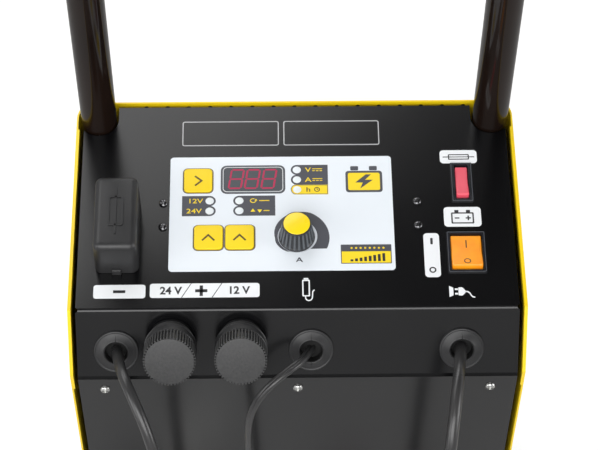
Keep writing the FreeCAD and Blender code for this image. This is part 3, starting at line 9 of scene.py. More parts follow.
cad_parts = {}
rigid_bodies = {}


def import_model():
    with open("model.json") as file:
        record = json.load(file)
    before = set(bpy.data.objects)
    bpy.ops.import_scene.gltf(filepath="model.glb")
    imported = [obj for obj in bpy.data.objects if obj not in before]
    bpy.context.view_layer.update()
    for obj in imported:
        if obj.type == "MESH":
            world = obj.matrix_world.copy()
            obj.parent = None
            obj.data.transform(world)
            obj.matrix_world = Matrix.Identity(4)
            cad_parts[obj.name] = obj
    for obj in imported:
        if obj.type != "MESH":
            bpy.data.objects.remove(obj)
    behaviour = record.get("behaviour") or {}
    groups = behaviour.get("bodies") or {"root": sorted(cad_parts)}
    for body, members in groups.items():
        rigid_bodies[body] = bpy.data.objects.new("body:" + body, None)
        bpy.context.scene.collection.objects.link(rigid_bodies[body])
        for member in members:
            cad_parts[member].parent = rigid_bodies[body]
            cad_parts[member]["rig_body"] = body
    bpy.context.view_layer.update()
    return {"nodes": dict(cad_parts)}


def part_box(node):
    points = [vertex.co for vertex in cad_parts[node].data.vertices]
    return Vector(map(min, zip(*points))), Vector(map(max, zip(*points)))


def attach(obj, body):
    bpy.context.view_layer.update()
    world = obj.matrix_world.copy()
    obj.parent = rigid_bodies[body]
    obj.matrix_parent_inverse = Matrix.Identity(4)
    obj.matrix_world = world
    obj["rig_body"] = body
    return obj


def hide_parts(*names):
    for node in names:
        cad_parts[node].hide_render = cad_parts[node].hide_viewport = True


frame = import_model()

# Camera. A long lens in front of the machine and well above it, looking down on the sloping top. Places on
# the machine count in millimetres from the top panel's front fold: across, rearwards and up, and on the
# connector face across, up the slope and out from the sheet.
MM = 0.001
FACE_ANGLE = math.radians(55)
FACE_LENGTH = 51
fold_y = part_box("front_panel")[0].y + FACE_LENGTH * MM * math.cos(FACE_ANGLE)
panel_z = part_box("overlay_panel")[0].z
PANEL = Matrix.Translation((0, fold_y, panel_z))
FACE = PANEL @ Matrix.Rotation(FACE_ANGLE, 4, "X")


def linked(name, data):
    """A new object of the data, linked into the scene."""
    made = bpy.data.objects.new(name, data)
    bpy.context.collection.objects.link(made)
    return made


def moved(place, x, y, z=0.0):
    """A place moved by millimetres along its own axes."""
    return place @ Matrix.Translation(Vector((x, y, z)) * MM)


camera_place = moved(PANEL, -17.27, -771.86, 1255.47)
camera_look = Vector((0.01304, 0.55550, -0.83141))
camera_up = Vector((0.00815, 0.83139, 0.55562))
camera_turn = Matrix((camera_look.cross(camera_up), camera_up, -camera_look)).transposed().to_4x4()
camera_data = bpy.data.cameras.new("camera")
camera_data.lens = 132.46
camera_data.sensor_width = 36
camera_data.clip_start = 0.1
camera_data.clip_end = 50
camera = linked("camera", camera_data)
camera.matrix_world = camera_place @ camera_turn
bpy.context.scene.camera = camera


# Leads. Three rubber-jacketed leads leave the connector face, hang down in front of the cabinet and end in
# neat two-layer coils on the floor. The negative lead is single core, the hand control's is a grooved twin
# and the mains lead is round.
def finish(name, colour, roughness, metallic=0.0, **more):
    """A material whose plain numbers stand on the shader's own sockets."""
    made = bpy.data.materials.new(name)
    made.use_nodes = True
    shader = made.node_tree.nodes["Principled BSDF"]
    shader.inputs["Base Color"].default_value = (*colour, 1)
    shader.inputs["Roughness"].default_value = roughness
    shader.inputs["Metallic"].default_value = metallic
    for socket, value in more.items():
        shader.inputs[socket.replace("_", " ")].default_value = value
    return made


def node_in(tree, kind, links=None, **settings):
    """One node with its settings made and its inputs linked; a link is an output socket or a plain value."""
    made = tree.nodes.new(kind)
    for name, value in settings.items():
        setattr(made, name, value)
    for socket, source in (links or {}).items():
        if isinstance(source, bpy.types.NodeSocket):
            tree.links.new(source, made.inputs[socket])
        else:
            made.inputs[socket].default_value = source
    return made


def surface_group():
    """Cloudy colour and gloss with a fine raised grain, for anything moulded, painted or coated."""
    group = bpy.data.node_groups.new("moulded_surface", "ShaderNodeTree")
    sizes = ("Cloud Size", "Grain Size", "Low Roughness", "High Roughness", "Grain Height")
    for side, kind, labels in (
            ("INPUT", "NodeSocketColor", ("Colour", "Second Colour")), ("INPUT", "NodeSocketFloat", sizes),
            ("OUTPUT", "NodeSocketColor", ("Color",)), ("OUTPUT", "NodeSocketFloat", ("Roughness",)),
            ("OUTPUT", "NodeSocketVector", ("Normal",))):
        for label in labels:
            group.interface.new_socket(label, in_out=side, socket_type=kind)
    given = group.nodes.new("NodeGroupInput").outputs
    place = node_in(group, "ShaderNodeTexCoord").outputs["Object"]

    def noise(size, detail):
        scale = node_in(group, "ShaderNodeMath", {0: 1.0, 1: given[size]}, operation="DIVIDE")
        links = {"Vector": place, "Scale": scale.outputs[0], "Detail": detail}
        return node_in(group, "ShaderNodeTexNoise", links).outputs["Fac"]

    spread = node_in(group, "ShaderNodeMapRange",
                     {"Value": noise("Cloud Size", 3.0), "From Min": 0.3, "From Max": 0.7}).outputs[0]
    colour = node_in(group, "ShaderNodeMix", {0: spread, 6: given["Colour"], 7: given["Second Colour"]},
                     data_type="RGBA")
    rough = node_in(group, "ShaderNodeMapRange",
                    {"Value": spread, "To Min": given["Low Roughness"], "To Max": given["High Roughness"]})
    bump = node_in(group, "ShaderNodeBump",
                   {"Height": noise("Grain Size", 2.0), "Distance": given["Grain Height"], "Strength": 1.0})
    node_in(group, "NodeGroupOutput",
            {"Color": colour.outputs[2], "Roughness": rough.outputs[0], "Normal": bump.outputs[0]})
    return group


moulded_surface = surface_group()


def textured(name, colour, second_colour, rough, grain, **more):
    """A finish whose colour, gloss and relief come from the surface group. Rough is the plain, the lowest and
    the highest roughness; grain is the size of a cloud, of a grain and the grain's height, in millimetres."""
    roughness, rough_low, rough_high = rough
    cloud_size, grain_size, height = grain
    made = finish(name, colour, roughness, **more)
    nodes = made.node_tree
    group = node_in(nodes, "ShaderNodeGroup", {
        "Colour": (*colour, 1), "Second Colour": (*second_colour, 1), "Cloud Size": cloud_size * MM,
        "Grain Size": grain_size * MM, "Low Roughness": rough_low, "High Roughness": rough_high,
        "Grain Height": height * MM}, node_tree=moulded_surface)
    for output, socket in (("Color", "Base Color"), ("Roughness", "Roughness"), ("Normal", "Normal")):
        nodes.links.new(group.outputs[output], nodes.nodes["Principled BSDF"].inputs[socket])
    return made


def settle(piece, material, *nodes, body="machine"):
    """Gives a finished piece its material and its body; where it stands for CAD nodes, it rides on theirs."""
    piece.data.materials.clear()
    piece.data.materials.append(material)
    if nodes:
        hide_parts(*nodes)
        body = frame["nodes"][nodes[0]]["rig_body"]
    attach(piece, body)


def evaluated(piece):
    """The mesh that a piece gives once its curve or its modifiers are worked out."""
    graph = bpy.context.evaluated_depsgraph_get()
    return bpy.data.meshes.new_from_object(piece.evaluated_get(graph))


def skinned(builder, rings):
    """Joins rings of corners one after another with faces; at a pole the ring is one corner repeated."""
    for lower, upper in zip(rings, rings[1:]):
        for index in range(len(lower)):
            following = (index + 1) % len(lower)
            corners = dict.fromkeys((lower[index], lower[following], upper[following], upper[index]))
            if len(corners) > 2:
                builder.faces.new(tuple(corners))


def shaped(name, builder, sharp=None):
    """The builder's faces as an object, turned outward, and smooth up to a sharpness where one is given."""
    bmesh.ops.recalc_face_normals(builder, faces=builder.faces)
    mesh = bpy.data.meshes.new(name)
    builder.to_mesh(mesh)
    builder.free()
    if sharp:
        mesh.shade_smooth()
        mesh.set_sharp_from_angle(angle=math.radians(sharp))
    return linked(name, mesh)


jacket = textured("cord_rubber", (0.024, 0.024, 0.025), (0.034, 0.033, 0.033), rough=(0.3, 0.26, 0.36),
                  grain=(30, 0.6, 0.012), Coat_Weight=0.15, Coat_Roughness=0.2)
GROMMET_DOWN = 30
GROMMETS = {"negative": -121.9, "remote": 8.9, "mains": 110.1}
NEGATIVE_LEAD = (
    (-119, -36.2, 588.5), (-111, -57.3, 591.3), (-101, -78, 582), (-94.5, -92, 562), (-91.5, -97, 533),
    (-90, -95, 480), (-91, -91, 405), (-88.5, -88, 325), (-88.5, -83, 245), (-85, -79, 165), (-81, -75.6, 96),
    (-74.8, -75, 40), (-88.5, -75, 16.25), (-109.5, -75, 3.75),
)
REMOTE_LEAD = (
    (5, -28.5, 583.5), (-5.5, -39.5, 587), (-18, -48, 583.5), (-28, -54, 571), (-33.5, -57, 551),
    (-35, -58, 515), (-31, -60, 450), (-29, -62, 380), (-28, -64, 310), (-30, -66, 240), (-29.5, -68, 170),
    (-32, -70, 105), (-33, -72, 53), (-33.6, -72.2, 22), (-27, -72, 9.2), (-15, -72, 2.75),
)
MAINS_LEAD = (
    (107.3, -36, 588.5), (104, -59, 592.5), (100.5, -83, 584.5), (98, -99.5, 563.5), (97, -104, 533),
    (95.5, -101, 480), (93.5, -96, 405), (92, -92, 325), (88, -87, 245), (85, -82, 165), (77, -77, 100),
    (71, -76, 42.5), (85, -76, 17), (107.5, -76, 4),
)


def swept(name, path, profile):
    """A closed section, in millimetres, carried along a line without twist."""
    builder = bmesh.new()
    side = Vector((1, 0, 0))
    rings = []
    for index, point in enumerate(path):
        ahead = (path[min(index + 1, len(path) - 1)] - path[max(index - 1, 0)]).normalized()
        side = (side - ahead * side.dot(ahead)).normalized()
        over = ahead.cross(side)
        rings.append([builder.verts.new(point + (side * x + over * y) * MM) for x, y in profile])
    skinned(builder, rings)
    builder.faces.new(rings[0][::-1])
    builder.faces.new(rings[-1])
    return shaped(name, builder, sharp=50)


def lead(name, diameter, route, middle_x, rear, turns, spin, outer, tail, profile=None):
    """One lead from its grommet down the route's points and round its coil, as one smooth curve. A coil has a
    middle, a rear edge, an outer radius and a straight tail. Returns the lead, the place where it leaves its
    grommet, its line and a frame with X along the lead at its far end."""
    radius = diameter / 2
    turn_gap, start, climb, steps = 0.6, -3, 0.25, 16
    pitch = diameter + turn_gap
    chord_cut = math.cos(math.pi / steps)
    exit_ = moved(FACE, GROMMETS[name], -GROMMET_DOWN, start).translation
    points = [exit_] + [Vector((x, fold_y / MM + back, above)) * MM for x, back, above in route]
    for step in range(round(turns * steps) + 1):
        turn = step / steps
        reach = (outer - pitch * (turns / 2 - abs(turn - turns / 2))) / chord_cut
        share = min(max((turn - turns / 2 + climb) / (2 * climb), 0), 1)
        rise = radius + pitch * (1 - math.cos(math.pi * share)) / 2
        angle = math.pi / 2 + spin * 2 * math.pi * turn
        points.append(Vector((middle_x + reach * math.cos(angle),
                              fold_y / MM + rear - outer + reach * math.sin(angle), rise)) * MM)
    heading = Vector((-math.sin(angle) * spin, math.cos(angle) * spin, 0))
    points.append(points[-1] + heading * tail * MM)
    end = Matrix.Translation(points[-1]) @ heading.to_track_quat("X", "Z").to_matrix().to_4x4()
    data = bpy.data.curves.new(name, "CURVE")
    data.dimensions = "3D"
    spline = data.splines.new("NURBS")
    spline.points.add(len(points) - 1)
    for place, point in zip(spline.points, points):
        place.co = (*point, 1)
    spline.order_u = 3
    spline.use_endpoint_u = True
    spline.resolution_u = 6
    piece = linked(name, data)
    path = None
    if profile:
        path = [vertex.co.copy() for vertex in evaluated(piece).vertices]
        bpy.data.objects.remove(piece)
        piece = swept(name, path, profile)
    else:
        data.bevel_depth = radius * MM
        data.bevel_resolution = 4
        data.use_fill_caps = True
    settle(piece, jacket, f"{name}_cable", f"{name}_coil")
    return piece, exit_, path, end


def twin_section(width, thick, groove):
    """The outline of a flat twin cord, with a groove along the middle of each side."""
    lobe, steps = thick / 2, 6
    reach = width / 2 - lobe
    outline = []
    for side in (1, -1):
        for step in range(steps + 1):
            angle = side * math.pi / 2 - math.pi / steps * step
            outline.append((side * reach + lobe * math.cos(angle), lobe * math.sin(angle)))
        outline.append((0, -side * (lobe - groove)))
    return outline


negative_lead, negative_exit, _, negative_end = lead(
    "negative", 7.5, NEGATIVE_LEAD, middle_x=-140, rear=-75, turns=4.375, spin=1, outer=47.7, tail=42)
remote_lead, remote_exit, remote_path, _ = lead(
    "remote", 5.5, REMOTE_LEAD, middle_x=8, rear=-72, turns=7.25, spin=-1, outer=40, tail=26,
    profile=twin_section(width=5.9, thick=3.9, groove=0.7))
mains_lead, mains_exit, _, mains_end = lead(
    "mains", 8, MAINS_LEAD, middle_x=140, rear=-76, turns=4.375, spin=-1, outer=49.1, tail=8)


# Studio. A pale floor in a soft white room. One large soft box stands above the front and lights every top,
# two weaker ones light the sides, and a narrow one behind is mirrored across the rear of the gloss top
# panel.
def studio():
    size = 4
    floor_lift, rise_from, rise_to = 0.62, 1.0, 3.4
    mesh = bpy.data.meshes.new("floor")
    corners = [(-size, -size, 0), (size, -size, 0), (size, size, 0), (-size, size, 0)]
    mesh.from_pydata(corners, [], [(0, 1, 2, 3)])
    floor = linked("floor", mesh)
    paper = finish("studio_floor", (0.55, 0.55, 0.55), 0.9, Emission_Color=(1, 1, 1, 1))
    nodes = paper.node_tree
    ray = node_in(nodes, "ShaderNodeLightPath")
    where = node_in(nodes, "ShaderNodeTexCoord")
    away = node_in(nodes, "ShaderNodeVectorMath", {0: where.outputs["Object"]}, operation="LENGTH")
    level = node_in(nodes, "ShaderNodeMapRange",
                    {"Value": away.outputs["Value"], "From Min": rise_from, "From Max": rise_to,
                     "To Min": floor_lift, "To Max": 1.0}, interpolation_type="SMOOTHSTEP")
    lift = node_in(nodes, "ShaderNodeMath", {0: ray.outputs["Is Camera Ray"], 1: level.outputs[0]},
                   operation="MULTIPLY")
    nodes.links.new(lift.outputs[0], nodes.nodes["Principled BSDF"].inputs["Emission Strength"])
    mesh.materials.append(paper)
    world = bpy.data.worlds.new("studio_room")
    bpy.context.scene.world = world
    world.use_nodes = True
    room = world.node_tree
    room.nodes.clear()
    way = node_in(room, "ShaderNodeTexCoord")
    parts = node_in(room, "ShaderNodeSeparateXYZ", {0: way.outputs["Generated"]})
    height = node_in(room, "ShaderNodeValToRGB", {0: parts.outputs["Z"]})
    ramp = height.color_ramp
    ramp.elements[0].position, ramp.elements[0].color = 0.0, (0.60, 0.60, 0.61, 1)
    ramp.elements[1].position, ramp.elements[1].color = 1.0, (0.30, 0.30, 0.31, 1)
    for position, level in ((0.30, 0.58), (0.60, 0.14), (0.78, 0.05), (0.92, 0.06)):
        ramp.elements.new(position).color = (level, level, level, 1)
    seen = node_in(room, "ShaderNodeBackground", {"Color": (1, 1, 1, 1), "Strength": 1.0})
    light = node_in(room, "ShaderNodeBackground", {"Color": height.outputs[0], "Strength": 1.0})
    ray = node_in(room, "ShaderNodeLightPath")
    either = node_in(room, "ShaderNodeMixShader",
                     {0: ray.outputs["Is Camera Ray"], 1: light.outputs[0], 2: seen.outputs[0]})
    node_in(room, "ShaderNodeOutputWorld", {"Surface": either.outputs[0]})
    for name, place, aim, roll, wide, deep, watts in (
            ("front_soft_box", (-0.30, -1.35, 2.0), (0, 0, 0.5), 0, 2.0, 1.4, 40),
            ("left_soft_box", (-1.7, -0.7, 1.2), (0, 0, 0.5), 0, 0.8, 1.2, 9),
            ("right_soft_box", (1.75, -0.3, 1.1), (0, 0, 0.4), 0, 0.8, 1.2, 12),
            ("rear_soft_box", (-0.42, 0.895, 1.555), (-0.07, -0.035, 0.705), 21, 1.7, 0.62, 8.5)):
        data = bpy.data.lights.new(name, "AREA")
        data.shape = "RECTANGLE"
        data.size = wide
        data.size_y = deep
        data.energy = watts
        lamp = linked(name, data)
        lamp.visible_camera = False
        aimed = (Vector(aim) - Vector(place)).to_track_quat("-Z", "Y").to_matrix().to_4x4()
        lamp.matrix_world = Matrix.Translation(place) @ aimed @ Matrix.Rotation(math.radians(roll), 4, "Z")


studio()
bpy.context.scene.view_settings.view_transform = "Standard"


# Handle. One 25 mm steel tube bent into a tall U and painted gloss black; the faint brown tint in its
# colour is a painted reflection. The axle passes through its lower ends, and a plastic plug closes each of
# them.
def eased(points, closed=True, steps=5):
    """A line in millimetres whose corners are rounded; each point is x, y and the corner's radius."""
    outline = []
    for index, (x, y, radius) in enumerate(points):
        here = Vector((x, y))
        if radius == 0 or (not closed and index in (0, len(points) - 1)):
            outline.append((x, y))
            continue
        back = (Vector(points[index - 1][:2]) - here).normalized()
        ahead = (Vector(points[(index + 1) % len(points)][:2]) - here).normalized()
        half = back.angle(ahead) / 2
        centre = here + (back + ahead).normalized() * radius / math.sin(half)
        first = here + back * radius / math.tan(half) - centre
        sweep = math.copysign(math.pi - 2 * half, -back.cross(ahead))
        for step in range(steps + 1):
            outline.append(tuple(centre + Matrix.Rotation(sweep * step / steps, 2) @ first))
    return outline


def disc(x, y, radius, count=40):
    """The outline of a round."""
    angles = [2 * math.pi * step / count for step in range(count)]
    return [(x + radius * math.cos(angle), y + radius * math.sin(angle)) for angle in angles]


def turned(name, profile, where=Matrix(), sides=64):
    """A section of radius and height in millimetres, closed or pole to pole, turned about the place's Z."""
    builder = bmesh.new()
    rings = []
    for radius, height in profile:
        if radius:
            rings.append([builder.verts.new(where @ (Vector((x, y, height)) * MM))
                          for x, y in disc(0, 0, radius, sides)])
        else:
            rings.append([builder.verts.new(where @ Vector((0, 0, height * MM)))] * sides)
    closed = profile[0][0] and profile[-1][0]
    skinned(builder, rings + rings[:1] if closed else rings)
    return shaped(name, builder, sharp=35)


def handle():
    low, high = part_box("handle_frame")
    radius, wall, bend = 12.5, 1.6, 55
    tube_x, tube_y = high.x / MM - radius, (low.y + high.y) / 2
    bottom, top = low.z / MM, high.z / MM - radius
    line = eased([(-tube_x, bottom, 0), (-tube_x, top, bend), (tube_x, top, bend), (tube_x, bottom, 0)],
                 closed=False, steps=20)
    tube = swept("handle_tube", [Vector((x * MM, tube_y, z * MM)) for x, z in line], disc(0, 0, radius, 48))
    # Painted reflection: the black paint is tinted brown to stand for the warm reflections along the tubes.
    paint = textured("tube_black_with_painted_reflection", (0.008, 0.005, 0.004), (0.013, 0.007, 0.005),
                     rough=(0.12, 0.10, 0.16), grain=(80, 1.5, 0.006), Specular_IOR_Level=0.2)
    settle(tube, paint, "handle_frame")
    plug_paint = finish("tube_plug_plastic", (0.03, 0.03, 0.032), 0.5)
    foot, brim, stem = -3, 1, 1.2
    section = eased([(0, foot, 0), (radius, foot, 2), (radius + 0.6, brim, 0.5), (radius - wall, stem, 0),
                     (0, stem, 0)], closed=False, steps=3)
    for side, word in ((-1, "left"), (1, "right")):
        end = Matrix.Translation((side * tube_x * MM, tube_y, bottom * MM))
        settle(turned(f"tube_plug_{word}", section, end), plug_paint)


handle()


# Rear cover. Sheet steel wrapped round both sides and the rear in one piece, hemmed along its upper edges
# and powder coated yellow, with a row of upright vent slots in the rear. Black sheets behind the slots are
# painted shade that makes them read dark.
def softened(name, node, width, segments=2):
    """A CAD node's mesh with its doubles merged, its flat faces joined and its sharp edges rounded."""
    doubles, flat, sharp = 5e-6, math.radians(0.5), math.radians(40)
    mesh = frame["nodes"][node].data.copy()
    builder = bmesh.new()
    builder.from_mesh(mesh)
    bmesh.ops.remove_doubles(builder, verts=builder.verts, dist=doubles)
    bmesh.ops.dissolve_limit(builder, angle_limit=flat, verts=builder.verts, edges=builder.edges)
    builder.to_mesh(mesh)
    builder.free()
    mesh.materials.clear()
    mesh.shade_smooth()
    mesh.set_sharp_from_angle(angle=sharp)
    draft = linked(name, mesh)
    bevel = draft.modifiers.new("soft_edges", "BEVEL")
    bevel.width = width * MM
    bevel.segments = segments
    bevel.limit_method = "ANGLE"
    bevel.angle_limit = sharp
    bevel.harden_normals = True
    done = evaluated(draft)
    bpy.data.objects.remove(draft)
    return linked(name, done)


def repeater():
    """A geometry tree that repeats a piece along a step, about the Z axis, or both."""
    tree = bpy.data.node_groups.new("repeated_piece", "GeometryNodeTree")
    for label, kind in (("Geometry", "NodeSocketGeometry"), ("Count", "NodeSocketInt"),
                        ("Turn", "NodeSocketFloat"), ("Step", "NodeSocketVector"),
                        ("Material", "NodeSocketMaterial")):
        tree.interface.new_socket(label, in_out="INPUT", socket_type=kind)
    tree.interface.new_socket("Geometry", in_out="OUTPUT", socket_type="NodeSocketGeometry")
    given = tree.nodes.new("NodeGroupInput").outputs
    index = tree.nodes.new("GeometryNodeInputIndex").outputs[0]
    place = node_in(tree, "ShaderNodeVectorMath", {0: given["Step"], "Scale": index}, operation="SCALE")
    angle = node_in(tree, "ShaderNodeMath", {0: given["Turn"], 1: index}, operation="MULTIPLY")
    facing = node_in(tree, "ShaderNodeCombineXYZ", {"Z": angle.outputs[0]})
    spots = node_in(tree, "GeometryNodePoints", {"Count": given["Count"], "Position": place.outputs[0]})
    copies = node_in(tree, "GeometryNodeInstanceOnPoints", {
        "Points": spots.outputs[0], "Instance": given["Geometry"], "Rotation": facing.outputs[0]})
    solid = node_in(tree, "GeometryNodeRealizeInstances", {0: copies.outputs[0]})
    dyed = node_in(tree, "GeometryNodeSetMaterial",
                   {"Geometry": solid.outputs[0], "Material": given["Material"]})
    node_in(tree, "NodeGroupOutput", {0: dyed.outputs[0]})
    return tree


repeated_piece = repeater()


def repeated(piece, material, count, turn=0.0, step=(0, 0, 0), where=Matrix()):
    """Turns a piece made at the origin into a row or a ring of it, and puts that in its place."""
    modifier = piece.modifiers.new("repeat", "NODES")
    modifier.node_group = repeated_piece
    values = {"Count": count, "Turn": turn, "Step": Vector(step) * MM, "Material": material}
    for item in repeated_piece.interface.items_tree:
        if item.name in values:
            modifier[item.identifier] = values[item.name]
    mesh = evaluated(piece)
    piece.modifiers.clear()
    mesh.transform(where)
    piece.data = mesh
    return piece


def outline_box(left, right, front, rear, corner=0.0):
    """A rectangle's outline, with round corners where their radius is given."""
    return eased([(left, front, corner), (right, front, corner), (right, rear, corner), (left, rear, corner)])


def flat_shapes(name, shapes, low, high, where=Matrix()):
    """Shapes with upright edges in one mesh, in millimetres; a shape with a hole is a pair of outlines."""
    builder = bmesh.new()
    for shape in shapes:
        loops = []
        for outline in (shape if isinstance(shape, tuple) else (shape,)):
            loops.append([[builder.verts.new(where @ (Vector((x, y, z)) * MM)) for x, y in outline]
                          for z in (low, high)])
            skinned(builder, loops[-1])
        for level in (0, 1):
            if len(loops) == 1:
                builder.faces.new(loops[0][level])
            else:
                skinned(builder, [loop[level] for loop in loops])
    return shaped(name, builder)


def cover():
    """The cover, with its slots moved across and cut lower and its rear rim lowered, as on the machine."""
    yellow = textured("yellow_powder_paint", (0.95, 0.68, 0.006), (0.92, 0.64, 0.005),
                      rough=(0.38, 0.34, 0.44), grain=(120, 1.2, 0.012), Coat_Weight=0.25,
                      Coat_Roughness=0.2)
    # Painted shade: a black sheet behind each slot stands in for the shade inside the cabinet.
    slot_shade = finish("vent_slot_painted_shade", (0.012, 0.011, 0.010), 0.7)
    piece = softened("yellow_cover", "rear_cover", 0.3)
    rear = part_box("rear_cover")[1].y
    slot_top, slot_drop, slot_shift, length, half = 2.0, 4.2, 7.5, 46, 1.5
    rim_drop, rim_start, row_reach, near_rear, upper_end, spare_end = 1.8, 0.4, 0.12, 4, 2.2, 1
    for vertex in piece.data.vertices:
        above = (vertex.co.z - panel_z) / MM
        if vertex.co.y < rear - near_rear * MM:
            continue
        if above > slot_top + rim_start:
            vertex.co.z -= rim_drop * MM
        elif abs(vertex.co.x) < row_reach and above > slot_top - length - spare_end:
            vertex.co.x += slot_shift * MM
            if above > slot_top - upper_end:
                vertex.co.z -= slot_drop * MM
    settle(piece, yellow, "rear_cover")
    count, pitch, spare, behind, thick = 16, 15, 0.3, 0.55, 0.2
    strip = outline_box(-half - spare, half + spare, slot_top - length - spare, slot_top - slot_drop + spare,
                        half)
    first = Matrix.Translation(((slot_shift - (count - 1) * pitch / 2) * MM, rear - behind * MM, panel_z))
    backing = flat_shapes("vent_slot_shade_sheets", [strip], -thick / 2, thick / 2)
    backing = repeated(backing, slot_shade, count, step=(pitch, 0, 0),
                       where=first @ Matrix.Rotation(math.radians(90), 4, "X"))
    settle(backing, slot_shade)


cover()


# Top and front panels. Folded steel sheet with gloss black paint. The top one turns down at the front into
# the connector face, and the front one closes the cabinet below it behind three zinc-plated screws.
def dressed(material, *pieces):
    """Settles softened copies of CAD nodes, each given as name, node and soft width."""
    for name, node, soft in pieces:
        settle(softened(name, node, soft), material, node)


gloss_black = textured("panel_gloss_black", (0.0022, 0.0022, 0.0026), (0.0034, 0.0034, 0.004),
                       rough=(0.2, 0.18, 0.23), grain=(150, 1.6, 0.006))
dressed(gloss_black, ("control_sheet", "top_panel", 0.25), ("front_sheet", "front_panel", 0.25))


# Screws. Pan heads with a cross recess: four small black ones through the top panel beside the overlay, and
# three larger zinc-plated ones along the front seam.
def carved(piece, cutter):
    """Cuts the cutter's shape out of a piece and removes the cutter."""
    carve = piece.modifiers.new("carve", "BOOLEAN")
    carve.operation = "DIFFERENCE"
    carve.solver = "EXACT"
    carve.object = cutter
    mesh = evaluated(piece)
    piece.modifiers.clear()
    piece.data = mesh
    bpy.data.objects.remove(cutter)
    mesh.shade_smooth()
    mesh.set_sharp_from_angle(angle=math.radians(35))
    return piece


def cross_head(name, radius):
    """A pan head with a cross recess, seated at the origin."""
    rise, neck, under = radius * 0.62, radius * 0.6, -2
    dome = ((0.98, 0.35), (0.86, 0.7), (0.6, 0.93), (0.3, 1))
    head = turned(name, [(0, under), (neck, under), (neck, 0), (radius, 0)]
                  + [(radius * out, rise * up) for out, up in dome] + [(0, rise)], sides=32)
    arm, half = radius * 0.62, radius * 0.14
    cross = [(-arm, -half), (-half, -half), (-half, -arm), (half, -arm), (half, -half), (arm, -half),
             (arm, half), (half, half), (half, arm), (-half, arm), (-half, half), (-arm, half)]
    return carved(head, flat_shapes("cross_cutter", [cross], rise * 0.35, rise * 2))


def screws():
    black = finish("screw_black_steel", (0.14, 0.14, 0.145), 0.2, metallic=1.0)
    left, right, front, rear = -91.3, 83.3, 66, 85.7
    small = repeated(cross_head("panel_screw_heads", 3.1), black, 2, step=(right - left, 0, 0))
    small = repeated(small, black, 2, step=(0, rear - front, 0), where=moved(PANEL, left, front))
    settle(small, black, "panel_screws")
    zinc = textured("screw_zinc", (0.62, 0.62, 0.60), (0.50, 0.50, 0.49), rough=(0.3, 0.22, 0.36),
                    grain=(6, 0.5, 0.004), metallic=1.0)
    spread, below = 131, 13
    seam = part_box("front_panel")
    place = Matrix.Translation((-spread * MM, seam[0].y, seam[1].z - below * MM))
    large = repeated(cross_head("front_screw_heads", 3.4), zinc, 3, step=(spread, 0, 0),
                     where=place @ Matrix.Rotation(math.radians(90), 4, "X"))
    settle(large, zinc, "front_screws")


screws()


# Overlay. A white printed film glued on the top panel, open over the keys, the display, the lamps and the
# dial. Its prints are thin layers of ink: dark slabs beside the lamps, thin frames round the keys and plain
# signs.
def printed(name, shapes, low, high, ink, body="machine"):
    """Flat shapes between two heights over the top panel."""
    settle(flat_shapes(name, shapes, low, high, PANEL), ink, body=body)


def stroke(points, width, closed=False):
    """The outline of a line of even width; a closed line gives a pair."""
    sides = ([], [])
    last = len(points) - 1
    for index, point in enumerate(points):
        here = Vector(point)
        before = Vector(points[index - 1]) if closed or index > 0 else None
        after = Vector(points[(index + 1) % len(points)]) if closed or index < last else None
        back = (here - before).normalized() if before is not None else (after - here).normalized()
        ahead = (after - here).normalized() if after is not None else back
        across = (back + ahead).normalized().orthogonal()
        reach = width / 2 / across.dot(ahead.orthogonal())
        sides[0].append(tuple(here + across * reach))
        sides[1].append(tuple(here - across * reach))
    return sides if closed else sides[0] + sides[1][::-1]


def lamp_slab(x, rows, far):
    """A dark slab whose end is scalloped round its lamps."""
    radius, steps = 4.2, 12
    side = 1 if far < x else -1
    reach = math.asin(min((rows[1] - rows[0]) / 2 / radius, 1))
    outline = [(far, rows[0] - radius)]
    for row in rows:
        start = -math.pi / 2 if row == rows[0] else -reach
        end = math.pi / 2 if row == rows[-1] else reach
        for step in range(steps + 1):
            angle = start + (end - start) * step / steps
            outline.append((x + side * radius * math.cos(angle), row + radius * math.sin(angle)))
    return outline + [(far, rows[-1] + radius)]


def words(name, text, size, x, y, lift, ink, weight, stretch):
    """Flat signs centred on a place of the top panel; size is a capital letter's height in millimetres."""
    capital, thick = 0.7, 0.03
    data = bpy.data.curves.new(name, "FONT")
    data.body = text
    data.size = size * MM / capital
    data.align_x = "CENTER"
    data.align_y = "CENTER"
    data.extrude = thick * MM
    data.offset = weight * MM
    draft = linked(name, data)
    mesh = evaluated(draft)
    bpy.data.objects.remove(draft)
    mesh.transform(moved(PANEL, x, y, lift) @ Matrix.Diagonal((stretch, 1, 1, 1)))
    settle(linked(name, mesh), ink)


film_top, ink_top, mark_top = 0.5, 0.56, 0.59
film = textured("white_film", (0.80, 0.845, 0.89), (0.77, 0.82, 0.87), rough=(0.34, 0.3, 0.38),
                grain=(60, 0.8, 0.006), Coat_Weight=0.3, Coat_Roughness=0.15)
dark_ink = finish("dark_ink", (0.062, 0.064, 0.078), 0.4)
yellow_ink = finish("yellow_ink", (0.90, 0.66, 0.01), 0.4)
black_ink = finish("black_ink", (0.018, 0.018, 0.02), 0.4)
dial_x, dial_y = 0, 56.4
lamp_rows = (78.8, 87.1)
high_rows = (96.1, 104.4, 112.7)
LAMPS_LEFT, LAMPS_MIDDLE, LAMPS_HIGH = -59.5, -39.1, 0.8
dressed(film, ("overlay_film", "overlay_panel", 0.12))


